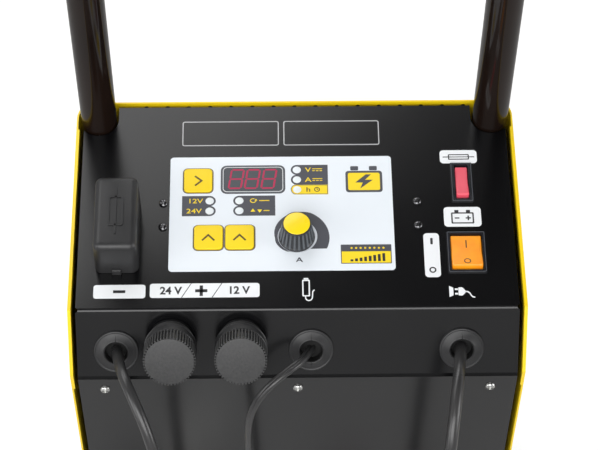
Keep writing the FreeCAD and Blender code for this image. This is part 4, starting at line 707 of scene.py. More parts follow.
def overlay_prints():
    frames = []
    frame_edges = ((10.65, 3.6), (10.05, 3.1))
    for x, y in ((-67.6, 104.0), (-60.1, 56.7), (-38.7, 56.7)):
        frames.append(tuple(outline_box(x - half, x + half, y - half, y + half, corner)
                            for half, corner in frame_edges))
    left_end, middle_end, slab_end = -78.5, -14.4, 22.3
    slabs = [lamp_slab(LAMPS_LEFT, lamp_rows, left_end), lamp_slab(LAMPS_MIDDLE, lamp_rows, middle_end),
             lamp_slab(LAMPS_HIGH, high_rows[1:], slab_end)]
    crescent = []
    first, sweep, steps = 240, 264, 48
    narrow, wider, widening = 14.8, 7.6, math.radians(115)
    taper, taper_start = 2.2, math.radians(195)
    for step in range(steps + 1):
        angle = math.radians(first - sweep * step / steps)
        reach = narrow + wider * min(max((math.pi - angle) / widening, 0), 1)
        reach -= taper * max(angle - taper_start, 0)
        crescent.append((dial_x + reach * math.cos(angle), dial_y + reach * math.sin(angle)))
    crescent += [(9, 47.1), (4, 45.4), (0, 44.9), (-4, 45.0)]
    printed("dark_prints", slabs + [crescent], film_top, ink_top, dark_ink)
    printed("key_frames", frames, film_top, ink_top, finish("brown_ink", (0.10, 0.075, 0.05), 0.4))
    row, tab_low, tab_high, end_x, end_y, steps = high_rows[0], 4.2, 4.1, 4.1, 4.15, 16
    rim_line, rim_inset, edge_from = 0.45, 0.4, 4
    tab = [(slab_end, row - tab_low), (slab_end, row + tab_high)]
    tab += [(LAMPS_HIGH + end_x * math.cos(angle), row + end_y * math.sin(angle))
            for angle in (math.pi / 2 + math.pi * step / steps for step in range(steps + 1))]
    rim = [(x - rim_line * (x == slab_end),
            y - rim_inset * (y > row + edge_from) + rim_inset * (y < row - edge_from)) for x, y in tab]
    printed("yellow_tab", [tab], film_top, ink_top, yellow_ink)
    printed("tab_rim", [stroke(rim, rim_line, closed=True)], ink_top, mark_top, dark_ink)
    sign_x, sign_size, sign_drop, sign_lift = 8.6, 3.7, 0.2, 0.01
    for label, text, x, y, ink in (
            ("volt", "V", sign_x, high_rows[2], yellow_ink),
            ("ampere", "A", sign_x, high_rows[1], yellow_ink),
            ("hours", "h", sign_x, high_rows[0], black_ink),
            ("twelve", "12V", -69.4, lamp_rows[1], yellow_ink),
            ("twenty_four", "24V", -70.2, lamp_rows[0], yellow_ink)):
        words(f"sign_{label}", text, sign_size, x, y - sign_drop, ink_top + sign_lift, ink,
              weight=0.05, stretch=1.25)
    marks = []
    line_start, line_end, dash, pitch, near, far = 11.6, 18.4, 1.8, 2.5, 0.5, 1.1
    for row in high_rows[1:]:
        marks.append(outline_box(line_start, line_end, row + near, row + far))
        starts = [line_start + pitch * step for step in range(3)]
        marks += [outline_box(start, start + dash, row - far, row - near) for start in starts]
    low_row, loop_row = lamp_rows
    loop_x, loop_half, loop_high, line, bar_end, bar_half = -29.6, 1.9, 1.6, 0.6, -18.4, 0.35
    loop = [(loop_x + loop_half * math.cos(math.radians(angle)),
             loop_row + loop_high * math.sin(math.radians(angle))) for angle in range(60, 361, 20)]
    marks.append(stroke(loop, line))
    marks.append([(loop_x + 0.9, loop_row), (loop_x + 3, loop_row), (loop_x + 1.95, loop_row + loop_high)])
    for x, point in ((-29.7, 1.7), (-25.1, -1.7)):
        foot = low_row - point / 2
        marks.append([(x - abs(point), foot), (x + abs(point), foot), (x, low_row + point)])
    marks += [outline_box(start, bar_end, row - bar_half, row + bar_half)
              for start, row in ((-25.4, loop_row), (-22.4, low_row))]
    printed("yellow_marks", marks, ink_top, mark_top, yellow_ink)
    row, clock_x, hand, line = high_rows[0], 14.6, 1, 0.5
    clock = [(disc(clock_x, row, 2.0, 28), disc(clock_x, row, 1.4, 28)),
             stroke([(clock_x, row + hand * 1.1), (clock_x, row), (clock_x + hand, row)], line)]
    printed("clock_mark", clock, ink_top, mark_top, black_ink)
    below_x, below_y = 1.6, 38.2
    words("sign_dial", "A", sign_size, below_x, below_y, ink_top, dark_ink, weight=0.06, stretch=1.3)


overlay_prints()


# Plain battery sign and level bar. They stand in the two printed places at the right of the overlay, in
# yellow and dark ink.
def overlay_emblems():
    battery = [outline_box(34.5, 60.0, 93.5, 111.5, 2.2), outline_box(38, 43.5, 111.9, 115.5, 0.8),
               outline_box(51, 56.5, 111.9, 115.5, 0.8)]
    bolt = [(48.6, 108.4), (41.2, 101.6), (46.4, 101.6), (44.6, 96.6), (53.4, 103.8), (48, 103.8),
            (52.2, 108.4)]
    layer, bolt_layer = 0.02, 0.03
    printed("battery_ground", battery, film_top, ink_top, dark_ink)
    printed("battery_face", [outline_box(36.2, 58.3, 95.2, 109.8, 1.4)], ink_top, mark_top, yellow_ink)
    printed("battery_bolt", [bolt], mark_top, mark_top + bolt_layer, dark_ink)
    printed("level_ground", [outline_box(29.8, 64.2, 34.9, 50.3, 0.5)], film_top, ink_top, dark_ink)
    printed("level_strip", [outline_box(30.4, 63.6, 35.5, 44.7, 0.3)], ink_top, ink_top + layer, yellow_ink)
    count, first, pitch, width, low, shortest, growth = 8, 36.2, 3.1, 1.9, 36.7, 1.6, 0.68
    lefts = [first + step * pitch for step in range(count)]
    bars = [outline_box(left, left + width, low, low + shortest + step * growth)
            for step, left in enumerate(lefts)]
    printed("level_bars", bars, ink_top + layer, ink_top + 2 * layer, black_ink)
    dot_row, dot_radius = 47.5, 0.75
    dots = [disc(left + width / 2, dot_row, dot_radius, 20) for left in lefts]
    printed("level_dots", dots, ink_top, mark_top, yellow_ink)


overlay_emblems()


# Display. A tinted window in a grey frame with a thin white line, flush with the overlay, over three
# crimson seven-part digits.
def display():
    x, y = -29.65, 104.85
    half_x, half_y, corner = 22.3, 11.9, 4.2
    grey = textured("display_frame_grey", (0.085, 0.092, 0.105), (0.075, 0.082, 0.095),
                    rough=(0.35, 0.3, 0.4), grain=(10, 0.6, 0.004))
    rim_ink = finish("display_rim_dark", (0.02, 0.02, 0.025), 0.4)
    glass = finish("display_window_tint", (0.056, 0.064, 0.074), 0.32)
    white = finish("display_white_line", (0.80, 0.82, 0.83), 0.4)
    glow = finish("digit_crimson", (0.38, 0.010, 0.06), 0.4, Emission_Strength=0.08,
                  Emission_Color=(0.75, 0.02, 0.16, 1))

    def around(far_x, far_y, radius):
        return outline_box(x - far_x, x + far_x, y - far_y, y + far_y, radius)

    def ring(inset):
        return around(half_x - inset, half_y - inset, corner - inset * 0.8)

    surround_low, surround_top = 0.2, film_top + 0.01
    surround = outline_box(x - 23.3, x + 23.3, 91.5, 117.5, 0.4)
    printed("display_surround", [surround], surround_low, surround_top, film)
    box_low, box_top = -8, 0.4
    settle(flat_shapes("display_box", [around(21.5, 11, 1)], box_low, box_top, PANEL), grey, "display_module")
    frame_low, frame_top, line_top, digit_low = 0.6, 0.66, 0.7, 0.72
    printed("display_rim", [ring(0)], surround_top, frame_low, rim_ink)
    printed("display_frame", [ring(0.3)], frame_low, frame_top, grey)
    printed("display_line", [(ring(1.45), ring(1.85))], frame_top, line_top, white)
    printed("display_window", [ring(2.3)], frame_top, digit_low, glass)
    segments = []
    side, half, line, gap, lean, digit_y, digit_layer = 4.25, 7.75, 1.3, 0.22, 0.15, 105.2, 0.03
    places = [(0, step * half, False) for step in (-1, 0, 1)]
    places += [(across * side, up * half / 2, True) for across in (-1, 1) for up in (-1, 1)]
    for centre_x in (-41.2, -30.1, -18.6):
        for across, up, upright in places:
            reach, thick = (half / 2 if upright else side) - gap, line / 2
            bar = [(-reach, 0), (-reach + thick, thick), (reach - thick, thick),
                   (reach, 0), (reach - thick, -thick), (-reach + thick, -thick)]
            if upright:
                bar = [(py, px) for px, py in bar]
            segments.append([(centre_x + across + px + lean * (up + py), digit_y + up + py)
                             for px, py in bar])
    printed("display_digits", segments, digit_low, digit_low + digit_layer, glow)


display()


# Indicator lamps. Seven round clear white lenses, moulded with low domes and pushed up through the film,
# two and two beside the slabs and three beside the display.
def lamps():
    lens = textured("lamp_lens_white", (0.86, 0.875, 0.88), (0.82, 0.84, 0.85), rough=(0.25, 0.2, 0.3),
                    grain=(3, 0.6, 0.003), Coat_Weight=0.5, Coat_Roughness=0.05, Subsurface_Weight=0.1)
    profile = [(0, -6), (2.95, -6), (2.95, 0.5), (2.8, 0.66), (2.3, 0.78), (1.5, 0.86), (0.7, 0.9), (0, 0.9)]
    pitch = 8.3
    places = ((LAMPS_LEFT, lamp_rows[0], 2), (LAMPS_MIDDLE, lamp_rows[0], 2), (LAMPS_HIGH, high_rows[0], 3))
    for number, (x, y, count) in enumerate(places):
        dome = turned(f"lamp_lenses_{number}", profile, sides=40)
        lamps_row = repeated(dome, lens, count, step=(0, pitch, 0), where=moved(PANEL, x, y))
        settle(lamps_row, lens, *(["indicator_leds"] if number == 0 else []))


lamps()


# Keys. Three square yellow caps under the film's openings, with soft edges and an arrow printed on each.
# Each rides its own body and is pressed by less than a millimetre.
def rounded_block(name, left, right, front, rear, corner, low, high, soft, where=PANEL, wall=0.0, draft=0.0):
    """A block with round corners and a rounded top edge; with a wall it is a cap, open below."""
    steps, least_corner = 5, 0.3
    builder = bmesh.new()

    def layer(level, inset):
        edge = inset + draft * (level - low) / (high - low)
        outline = outline_box(left + edge, right - edge, front + edge, rear - edge,
                              max(corner - inset, least_corner))
        return [builder.verts.new(where @ (Vector((x, y, level)) * MM)) for x, y in outline]

    angles = [math.pi / 2 * step / steps for step in range(steps + 1)]
    shells = [[layer(low, 0.0)] + [layer(high - soft + soft * math.sin(angle), soft * (1 - math.cos(angle)))
                                   for angle in angles]]
    if wall:
        shells.append([layer(low, wall), layer(high - wall, wall)])
        skinned(builder, [shell[0] for shell in shells])
    else:
        builder.faces.new(shells[0][0][::-1])
    for shell in shells:
        skinned(builder, shell)
        builder.faces.new(shell[-1])
    return shaped(name, builder, sharp=50)


def keys():
    cap = textured("key_yellow_plastic", (0.93, 0.67, 0.004), (0.93, 0.66, 0.006), rough=(0.42, 0.4, 0.5),
                   grain=(14, 0.5, 0.006))
    arrow = finish("key_arrow_ink", (0.085, 0.050, 0.012), 0.45)
    half, corner, bottom, top, soft = 9.8, 3.0, -3.5, 1.25, 0.5
    line, sunk, raised = 1.25, 0.02, 0.05
    onward = ((-2.2, 3.4), (2.4, -0.5), (-2.1, -4.6))
    upward = ((-4.3, -2.8), (-0.1, 1.6), (4.1, -2.9))
    for word, x, y, points in (("select", -67.6, 104.2, onward), ("left", -60.1, 57.0, upward),
                               ("right", -38.8, 57.0, upward)):
        piece = rounded_block(f"key_{word}_cap", x - half, x + half, y - half, y + half, corner, bottom, top,
                              soft)
        settle(piece, cap, f"key_{word}")
        mark = stroke([(x + px, y + py) for px, py in points], line)
        printed(f"key_{word}_arrow", [mark], top - sunk, top + raised, arrow, f"{word}_key")


keys()


# Dial. A ribbed black knob with a flared skirt and a flat yellow cap, pressed on the aluminium shaft of the
# potentiometer under the panel, with a light printed ring round its foot.
def dial():
    spot = moved(PANEL, dial_x, dial_y)
    plastic = textured("dial_plastic", (0.022, 0.024, 0.028), (0.030, 0.032, 0.036), rough=(0.36, 0.3, 0.42),
                       grain=(8, 0.5, 0.01))
    # Painted highlight: the ribs are lighter grey than the black knob to stand for the glints along them.
    ridge = textured("dial_rib_painted_highlight", (0.105, 0.115, 0.13), (0.085, 0.095, 0.105), rough=(0.3, 0.3, 0.4),
                     grain=(8, 0.5, 0.01))
    cap = textured("dial_cap_yellow", (0.95, 0.70, 0.008), (0.92, 0.66, 0.008), rough=(0.3, 0.26, 0.34),
                   grain=(12, 0.5, 0.004), Coat_Weight=0.3)
    grip = turned("dial_grip", [
        (0, 1.0), (12.1, 1.0), (12.4, 1.3), (12.4, 1.9), (12.05, 2.5), (11.2, 3.2), (10.7, 4.2), (9.0, 16.4),
        (9.5, 16.8), (9.7, 17.1), (9.7, 17.5), (9.3, 17.75), (0, 17.75)], spot, sides=96)
    settle(grip, plastic, "dial_knob")
    count, soft = 22, 0.4
    builder = bmesh.new()
    sections = []
    for level, inner, outer, half in (
            (2.6, 10.2, 12.1, 0.76), (9.5, 9.4, 11.15, 0.7), (16.4, 8.6, 10.0, 0.6)):
        sections.append([builder.verts.new(Vector((x, y, level)) * MM) for x, y in (
            (inner, -half), (outer - soft, -half), (outer, -half / 2),
            (outer, half / 2), (outer - soft, half), (inner, half))])
    skinned(builder, sections)
    builder.faces.new(sections[0][::-1])
    builder.faces.new(sections[-1])
    ribs = repeated(shaped("dial_ribs", builder), ridge, count, turn=2 * math.pi / count, where=spot)
    settle(ribs, ridge, body="dial")
    cap_low, cap_top = 17.2, 18.1
    face = turned("dial_cap_disc", [(0, cap_low), (8.9, cap_low), (8.95, 17.85), (8.75, 18.0), (8.3, cap_top),
                                    (0, cap_top)], spot, sides=96)
    settle(face, cap, "dial_cap")
    ring = (disc(dial_x + 0.6, dial_y + 1.1, 13.5, 72), disc(dial_x, dial_y, 11.4, 72))
    ring_layer = 0.04
    printed("dial_print_ring", [ring], ink_top, ink_top + ring_layer,
            finish("dial_ring_light", (0.66, 0.69, 0.74), 0.3, Coat_Weight=0.3))


dial()


# Stick-on signs. White plates with plain signs beside the terminals, the breaker and the mains switch, and
# thin outlined pictures of the hand control and the mains plug; the two long frames at the rear stay bare.
def signs():
    white = textured("sign_white", (0.84, 0.86, 0.875), (0.81, 0.83, 0.85), rough=(0.4, 0.36, 0.45),
                     grain=(40, 0.8, 0.004))
    line = finish("sign_line_grey", (0.48, 0.48, 0.49), 0.45)
    low, high, over = 0.02, 0.14, 0.18
    volts_front, volts_rear = 9.2, 20.4
    minus_plate = outline_box(-136.8, -101.9, 9.0, 19.7, 1.9)
    volts_plate = outline_box(-99.0, -25.4, volts_front, volts_rear, 1.9)
    fuse_plate = outline_box(100.8, 126.7, 117.6, 128.8, 2.6)
    battery_plate = outline_box(101.2, 126.8, 64.5, 80.7, 2.6)
    switch_plate = outline_box(86.3, 97.0, 23.8, 59.3, 2.6)
    plates = [minus_plate, volts_plate, fuse_plate, battery_plate, switch_plate]
    printed("sign_plates", plates, low, high, white)
    dividers = [stroke([(x, volts_front), (x + lean, volts_rear)], 0.5)
                for x, lean in ((-77.7, 6.4), (-57.2, 6.5))]
    minus = [outline_box(-123.6, -115.4, 13.2, 15.4)]
    plus = [outline_box(-68.6, -60.4, 13.4, 15.7), outline_box(-65.6, -63.4, 10.4, 18.7)]
    on_off = [outline_box(90.9, 92.6, 50.2, 55.4, 0.6), (disc(91.6, 29.6, 2.4), disc(91.6, 29.6, 1.4))]
    fuse = [(outline_box(106.6, 121.2, 120.7, 125.3, 0.6), outline_box(107.4, 120.4, 121.5, 124.5, 0.3)),
            outline_box(102.9, 124.9, 122.65, 123.35)]
    battery = [(outline_box(106.2, 121.8, 67.0, 76.2, 0.8), outline_box(107.2, 120.8, 68.0, 75.2, 0.4)),
               outline_box(108.6, 111.4, 76.2, 78.2), outline_box(116.6, 119.4, 76.2, 78.2),
               outline_box(108.6, 111.8, 71.1, 72.1), outline_box(116.1, 119.7, 71.1, 72.1),
               outline_box(117.4, 118.4, 69.7, 73.5)]
    printed("sign_marks", dividers + minus + plus + on_off + fuse + battery, high, over, black_ink)
    size, row = 5.7, 14.5
    for label, text, x in (("high_terminal", "24 V", -85.0), ("low_terminal", "12 V", -39.4)):
        words(f"sign_{label}", text, size, x, row, high, black_ink, weight=0.24, stretch=0.95)
    front, rear, width = 134.1, 155.3, 0.7
    frames = [(outline_box(left, right, front, rear, 1.6),
               outline_box(left + width, right - width, front + width, rear - width, 1.1))
              for left, right in ((-79.1, -11.4), (-8.2, 59.1))]
    printed("bare_frames", frames, low, high, line)
    handset = [(outline_box(3.2, 8.4, 9.4, 22.6, 0.8), outline_box(4.1, 7.5, 10.3, 21.6, 0.4)),
               outline_box(4.2, 7.4, 22.8, 23.9, 0.3),
               stroke([(5.4, 9.4), (5.4, 7.8), (6.1, 6.6), (7.4, 6.1), (8.8, 6.5), (9.7, 7.7), (10.0, 9.6),
                       (10.2, 13.2), (11.4, 14.6)], 0.75)]
    plug = [stroke([(112.6, 12.3), (114.2, 12.1), (115.6, 10.9), (116.6, 8.9), (117.6, 7.9), (119.0, 7.7)],
                   0.9),
            eased([(108.0, 9.2, 0.3), (110.6, 9.0, 1.2), (113.4, 12.2, 1.4), (110.6, 15.6, 1.2),
                   (108.0, 15.4, 0.3)]),
            [(101.8, 8.0), (104.6, 9.3), (104.6, 15.3), (101.8, 16.7)],
            outline_box(105.6, 107.8, 9.9, 11.2), outline_box(105.6, 107.8, 13.4, 14.7)]
    printed("white_pictures", handset + plug, low, high, white)


signs()


# Fuse holder. A black moulded cover lifts straight off the base, which carries two brass studs and the fuse
# strip between them.
def fuse_holder():
    grain = textured("fuse_cover_plastic", (0.017, 0.017, 0.018), (0.023, 0.023, 0.024),
                     rough=(0.4, 0.34, 0.46), grain=(20, 0.7, 0.03))
    brass = textured("fuse_brass", (0.60, 0.42, 0.16), (0.48, 0.33, 0.13), rough=(0.3, 0.25, 0.4),
                     grain=(5, 0.4, 0.004), metallic=1.0)
    x, y, bottom, high = -121.5, 57.7, 0.4, 31.2
    half_x, front, rear, wall = 14.9, y - 28.8, y + 30.6, 2.0
    corner, soft = 5.2, 4.4
    lid = rounded_block("fuse_lid_shell", x - half_x, x + half_x, front, rear, corner, bottom, high, soft,
                        wall=wall, draft=0.35)
    settle(lid, grain, "fuse_cover")
    catch_half, catch_out, catch_in, catch_high, catch_soft = 3.2, 1.6, 1, 5.5, 0.8
    catch = rounded_block("fuse_lid_catch", x - catch_half, x + catch_half, front - catch_out,
                          front + catch_in, catch_soft, bottom, catch_high, catch_soft)
    settle(catch, grain, body="fuse_lid")
    outer = outline_box(x - 5.2, x + 5.2, y - 11, y + 13, 1.6)
    inner = outline_box(x - 3.9, x + 3.9, y - 9.7, y + 11.7, 0.8)
    wire = outline_box(x - 0.65, x + 0.65, y - 17.5, y + 19.5, 0.6)
    sunk, raised = 0.3, 0.7
    printed("fuse_symbol", [(outer, inner), wire], high - sunk, high + raised, grain, "fuse_lid")
    dressed(brass, ("fuse_bolts", "fuse_studs", 0.2), ("fuse_link", "fuse_strip", 0.1))
    dressed(grain, ("fuse_foot", "fuse_base", 0.3))


fuse_holder()


# Mains switch and breaker. Glossy black bezels snapped into the top panel, each round a tinted rocker that
# tips on its cross pin; both rockers rest with the rear half pressed in.
def switches():
    bezel = textured("switch_bezel_black", (0.012, 0.013, 0.016), (0.018, 0.019, 0.023),
                     rough=(0.22, 0.18, 0.26), grain=(8, 0.6, 0.004), Coat_Weight=0.4, Coat_Roughness=0.08)
    # Painted highlight: the bead round each bezel's rim is lighter grey to stand for the glints on that rim.
    bead_highlight_grey = finish("switch_bead_painted_highlight", (0.07, 0.075, 0.085), 0.2, Coat_Weight=0.5)
    orange = textured("rocker_orange", (0.90, 0.26, 0.006), (0.95, 0.36, 0.008), rough=(0.4, 0.36, 0.46),
                      grain=(12, 0.5, 0.003), Coat_Weight=0.1, Coat_Roughness=0.2, Emission_Strength=0.10,
                      Emission_Color=(1.0, 0.35, 0.01, 1))
    pink = textured("rocker_pink", (0.76, 0.075, 0.12), (0.80, 0.095, 0.14), rough=(0.4, 0.36, 0.46),
                    grain=(10, 0.5, 0.003), Coat_Weight=0.1, Coat_Roughness=0.2)
    rise, step_down, bead, sink, spread = 1.3, 0.4, 0.2, 3.0, 0.7
    play, end_play, outside = 0.45, 1.3, 1.55

    def places(node):
        return [PANEL.inverted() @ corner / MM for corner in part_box(node)]

    def around(low, high, far_x, far_y, corner):
        return outline_box(low.x - far_x, high.x + far_x, low.y - far_y, high.y + far_y, corner)

    for name, node, moving, paint in (("mains", "mains_switch", "mains_rocker", orange),
                                      ("breaker", "breaker_body", "breaker_rocker", pink)):
        low, high = places(node)
        low -= Vector((spread, spread, 0))
        high += Vector((spread, spread / 3, 0))
        key_low, key_high = places(moving)
        hole = around(key_low, key_high, play, end_play, 0.5)
        plate = around(low, high, 0, 0, 0.8)
        edge = around(low, high, -0.5, -0.5, 0.8)
        inner_edge = around(low, high, -1.0, -1.0, 0.6)
        wall = around(key_low, key_high, outside, outside, 0.8)
        settle(flat_shapes(f"{name}_bezel", [(plate, hole)], 0, rise - step_down, PANEL), bezel, node)
        printed(f"{name}_bezel_edge", [(edge, hole)], rise - step_down, rise, bezel)
        printed(f"{name}_bezel_highlight_bead", [(edge, inner_edge)], rise, rise + bead, bead_highlight_grey)
        printed(f"{name}_housing", [(wall, hole)], low.z, 0, bezel)
        rocker = softened(f"{name}_rocker_key", moving, 1.1, 5)
        rocker.data.transform(Matrix.Translation((0, 0, -sink * MM)))
        settle(rocker, paint, moving)
        if paint is orange:
            tree = BVHTree.FromObject(rocker, bpy.context.evaluated_depsgraph_get())
            centre = (key_low + key_high) / 2
            reach = (key_high.y - key_low.y) / 2
            bar_half, bar_from, bar_to, round_at, drop, thick = 0.38, 0.26, 0.72, -0.66, 20, 0.04
            on_bar = outline_box(centre.x - bar_half, centre.x + bar_half,
                                 centre.y + reach * bar_from, centre.y + reach * bar_to)
            off_ring = tuple(disc(centre.x, centre.y + reach * round_at, radius, 32) for radius in (2.4, 1.75))
            mark = flat_shapes(f"{name}_rocker_marks", [on_bar, off_ring], 0, thick)
            for vertex in mark.data.vertices:
                above = PANEL @ Vector((vertex.co.x, vertex.co.y, drop * MM))
                hit = tree.ray_cast(above, Vector((0, 0, -1)))[0]
                vertex.co = hit + Vector((0, 0, vertex.co.z))
            settle(mark, black_ink, body=frame["nodes"][moving]["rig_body"])


switches()


# Lead bushes. Rubber grommets snapped into the connector face, each with a narrow split above and below so
# that it can be closed round its lead.
def lead_bushes():
    rubber = textured("bush_rubber", (0.013, 0.013, 0.014), (0.019, 0.019, 0.020), rough=(0.42, 0.38, 0.5),
                      grain=(12, 0.6, 0.015))
    # Painted shade: the throat lining and floor in each hole are near black so that the hole reads deep and
    # dark.
    dark = finish("bush_throat_painted_shade", (0.0025, 0.0025, 0.0025), 0.8)
    profile = [(7.8, -4.5), (12.4, -4.5), (12.4, -1.5), (10.8, -1.5), (10.8, 0), (15.1, 0.0), (15.1, 1.3),
               (14.8, 1.8), (14.2, 2.0), (13.6, 1.8), (13.2, 2.0), (9.8, 2.9), (9.1, 3.6), (8.5, 3.8),
               (7.9, 3.5), (7.7, 2.8)]
    throat = [(7.75, 3.0), (7.6, 3.0), (7.2, -3.4), (0, -3.4), (0, -3.8), (7.75, -3.8)]
    split, split_in, split_out, split_low, split_high = 0.22, 7, 16, 2.2, 6
    for name, x in GROMMETS.items():
        spot = moved(FACE, x, -GROMMET_DOWN)
        bush = turned(f"{name}_bush", profile, sides=96)
        splits = [outline_box(-split, split, split_in, split_out),
                  outline_box(-split, split, -split_out, -split_in)]
        carved(bush, flat_shapes("split_cutter", splits, split_low, split_high))
        bush.data.transform(spot)
        settle(bush, rubber, f"grommet_{name}")
        settle(turned(f"{name}_bush_throat", throat, spot), dark)


lead_bushes()


# Terminals. Two insulated brass studs through the connector face, each with a zinc washer under a large
# black knob: a collar with two lips, a band of fifty ribs and a flat grained end.
def terminals():
    insulator = textured("terminal_insulator", (0.022, 0.022, 0.023), (0.03, 0.03, 0.03),
                         rough=(0.35, 0.3, 0.42), grain=(10, 0.6, 0.01))
    black = textured("knob_plastic", (0.016, 0.016, 0.017), (0.022, 0.022, 0.023), rough=(0.34, 0.3, 0.42),
                     grain=(10, 0.6, 0.015))
    ridge = textured("knob_ridge", (0.040, 0.040, 0.041), (0.050, 0.050, 0.050), rough=(0.36, 0.32, 0.44),
                     grain=(10, 0.6, 0.015))
    end_grey = textured("knob_end_grey", (0.030, 0.030, 0.031), (0.050, 0.050, 0.050),
                        rough=(0.5, 0.42, 0.6), grain=(1.6, 0.5, 0.16))
    grip = [(5.3, 5.1), (15.6, 5.1), (15.8, 8.6), (17.3, 8.8), (17.7, 9.2), (17.7, 9.9), (17.3, 10.2),
            (17.3, 17.0), (17.7, 17.3), (17.7, 18.0), (17.3, 18.4), (16.0, 18.5), (15.9, 31.4), (15.6, 31.8),
            (0, 31.8), (0, 29.0), (5.3, 29.0)]
    end = [(0, 31.2), (15.9, 31.2), (16.3, 31.6), (16.2, 32.0), (15.8, 32.15), (0, 32.15)]
    count, down = 50, 23.5
    rib_inner, rib_outer, rib_half, rib_low, rib_high = 15.7, 17.5, 0.56, 18.2, 32.0
    rib_corner, rib_soft = 0.4, 0.35
    for volts, word, x in (("24v", "high", -85.0), ("12v", "low", -38.0)):
        spot = moved(FACE, x, -down)
        dressed(insulator, (f"terminal_seat_{volts}", f"terminal_base_{volts}", 0.4))
        dressed(bpy.data.materials["fuse_brass"], (f"terminal_rod_{volts}", f"terminal_stud_{volts}", 0.2))
        dressed(bpy.data.materials["screw_zinc"],
                (f"terminal_ring_{volts}", f"terminal_washer_{volts}", 0.25))
        settle(turned(f"terminal_grip_{volts}", grip, spot, sides=100), black, f"terminal_knob_{volts}")
        rib = rounded_block(f"terminal_ribs_{volts}", rib_inner, rib_outer, -rib_half, rib_half, rib_corner,
                            rib_low, rib_high, rib_soft, Matrix())
        ribs = repeated(rib, ridge, count, turn=2 * math.pi / count, where=spot)
        settle(ribs, ridge, body=f"knob_{word}")
        settle(turned(f"terminal_face_{volts}", end, spot, sides=100), end_grey, body=f"knob_{word}")


terminals()


# Tray, foot bracket and feet. The cabinet's floor sheet and a bent strip under its front edge, both satin
# black, with two moulded rubber feet.
satin = textured("underside_satin_black", (0.018, 0.018, 0.019), (0.025, 0.025, 0.026),
                 rough=(0.45, 0.4, 0.52), grain=(60, 1.2, 0.012))
dressed(satin, ("cabinet_floor", "base_tray", 0.3), ("foot_strip", "foot_bracket", 0.3))
foot_rubber = textured("foot_rubber", (0.020, 0.020, 0.020), (0.028, 0.028, 0.028), rough=(0.6, 0.55, 0.7),
                       grain=(10, 0.8, 0.03))
dressed(foot_rubber, ("rubber_feet", "front_feet", 0.8))


# Wheels. Two moulded black wheels with pierced webs and solid rubber tyres turn on a zinc-plated axle
# through the handle's lower ends, held by pressed caps. Each tread has three grooves.
def wheels():
    hub = textured("wheel_plastic", (0.022, 0.022, 0.023), (0.03, 0.03, 0.031), rough=(0.38, 0.34, 0.46),
                   grain=(25, 0.9, 0.015))
    rubber = textured("tyre_rubber_black", (0.020, 0.020, 0.020), (0.03, 0.029, 0.029),
                      rough=(0.62, 0.55, 0.72), grain=(30, 0.8, 0.03))
    depth, grooves, mouth, bottom = 1.4, (-0.42, 0.0, 0.42), 0.13, 0.08
    for side in ("left", "right"):
        dressed(hub, (f"wheel_disc_{side}", f"wheel_{side}", 0.6))
        low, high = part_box(f"tyre_{side}")
        half, reach = (high.x - low.x) / 2 / MM, (high.z - low.z) / 2 / MM
        shoulder = [(reach - 17, half * 0.84), (reach - 9, half), (reach - 6, half),
                    (reach - 2.4, half * 0.86), (reach - 0.7, half * 0.66)]
        profile = [(radius, -across) for radius, across in shoulder]
        for groove in grooves:
            profile += [(reach, half * (groove - mouth)), (reach - depth, half * (groove - bottom)),
                        (reach - depth, half * (groove + bottom)), (reach, half * (groove + mouth))]
        profile += shoulder[::-1]
        spot = Matrix.Translation((low + high) / 2) @ Matrix.Rotation(math.radians(90), 4, "Y")
        settle(turned(f"tyre_tread_{side}", profile, spot, sides=128), rubber, f"tyre_{side}")
    dressed(bpy.data.materials["screw_zinc"],
            ("axle_rod", "wheel_axle", 0.4), ("axle_end_caps", "axle_caps", 0.5))


wheels()


# Far ends of the leads. The negative lead ends in a spring clamp of plated steel with black sleeves on its
# handles, the flat one in a moulded hand control with a red button, and the mains lead in a moulded plug
# with brass blades.
def parted(piece, name, end, along):
    """Cuts a piece some millimetres past a lead's far end and returns the part beyond as its own piece."""
    beyond = linked(name, piece.data.copy())
    for part, near in ((piece, True), (beyond, False)):
        builder = bmesh.new()
        builder.from_mesh(part.data)
        bmesh.ops.bisect_plane(builder, geom=builder.verts[:] + builder.edges[:] + builder.faces[:],
                               plane_co=moved(end, along, 0).translation, plane_no=end.col[0].xyz,
                               clear_outer=near, clear_inner=not near)
        builder.to_mesh(part.data)
        builder.free()
    return beyond


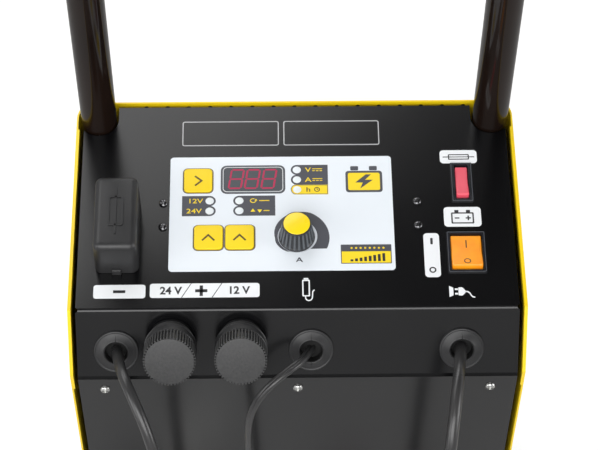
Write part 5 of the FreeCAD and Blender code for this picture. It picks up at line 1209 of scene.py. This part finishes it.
def far_ends():
    sleeve = textured("clamp_sleeve_black", (0.022, 0.022, 0.023), (0.03, 0.03, 0.031),
                      rough=(0.45, 0.4, 0.52), grain=(14, 0.7, 0.015))
    plated = textured("clamp_plated_steel", (0.50, 0.50, 0.49), (0.40, 0.40, 0.39), rough=(0.34, 0.26, 0.42),
                      grain=(9, 0.6, 0.006), metallic=1.0)
    moulded = textured("hand_control_plastic", (0.028, 0.028, 0.029), (0.036, 0.036, 0.037),
                       rough=(0.42, 0.36, 0.5), grain=(16, 0.7, 0.02))
    red = textured("button_red", (0.60, 0.012, 0.01), (0.55, 0.01, 0.01), rough=(0.28, 0.24, 0.34),
                   grain=(8, 0.5, 0.004), Coat_Weight=0.3)
    sleeve_end, blade_start = 62, 74.8
    for name, node, near_paint, far_name, far_paint, end, along in (
            ("clamp_shell", "clamp_jaw_fixed", sleeve, "clamp_shell_jaw", plated, negative_end, sleeve_end),
            ("clamp_lever", "clamp_jaw_moving", sleeve, "clamp_lever_jaw", plated, negative_end, sleeve_end),
            ("mains_plug_body", "mains_plug", moulded, "mains_plug_blades", bpy.data.materials["fuse_brass"],
             mains_end, blade_start)):
        near = softened(name, node, 0.5)
        beyond = parted(near, far_name, end, along)
        settle(near, near_paint, node)
        settle(beyond, far_paint, body=frame["nodes"][node]["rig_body"])
    dressed(bpy.data.materials["screw_zinc"], ("clamp_pivot", "clamp_pin", 0.3),
            ("clamp_coil_spring", "clamp_spring", 0.05))
    dressed(moulded, ("hand_control", "remote_body", 0.6))
    dressed(red, ("hand_control_button", "remote_button", 0.3))


far_ends()


# Transformer, rectifier and circuit board. They stand inside the cabinet: a laminated core with a copper
# winding, a finned aluminium heat sink with four diodes, and the board that carries the display and the
# dial's shaft.
def inside():
    steel = textured("core_steel_sheets", (0.10, 0.105, 0.115), (0.13, 0.12, 0.11), rough=(0.45, 0.38, 0.55),
                     grain=(20, 0.8, 0.01), metallic=0.8)
    copper = textured("winding_copper", (0.45, 0.13, 0.035), (0.38, 0.10, 0.03), rough=(0.35, 0.3, 0.45),
                      grain=(12, 0.9, 0.05), metallic=0.7)
    aluminium = textured("sink_aluminium", (0.55, 0.56, 0.57), (0.48, 0.49, 0.5), rough=(0.35, 0.3, 0.42),
                         grain=(25, 0.5, 0.005), metallic=1.0)
    green = textured("board_green", (0.010, 0.10, 0.035), (0.012, 0.08, 0.03), rough=(0.3, 0.26, 0.36),
                     grain=(20, 1.0, 0.004), Coat_Weight=0.3)
    dressed(steel, ("core_stack", "transformer_core", 0.4))
    dressed(copper, ("copper_winding", "transformer_windings", 1.0))
    dressed(aluminium, ("heat_sink", "rectifier", 0.2))
    dressed(green, ("circuit_board", "control_board", 0.2))
    dressed(aluminium, ("potentiometer_shaft", "dial_shaft", 0.2))


inside()
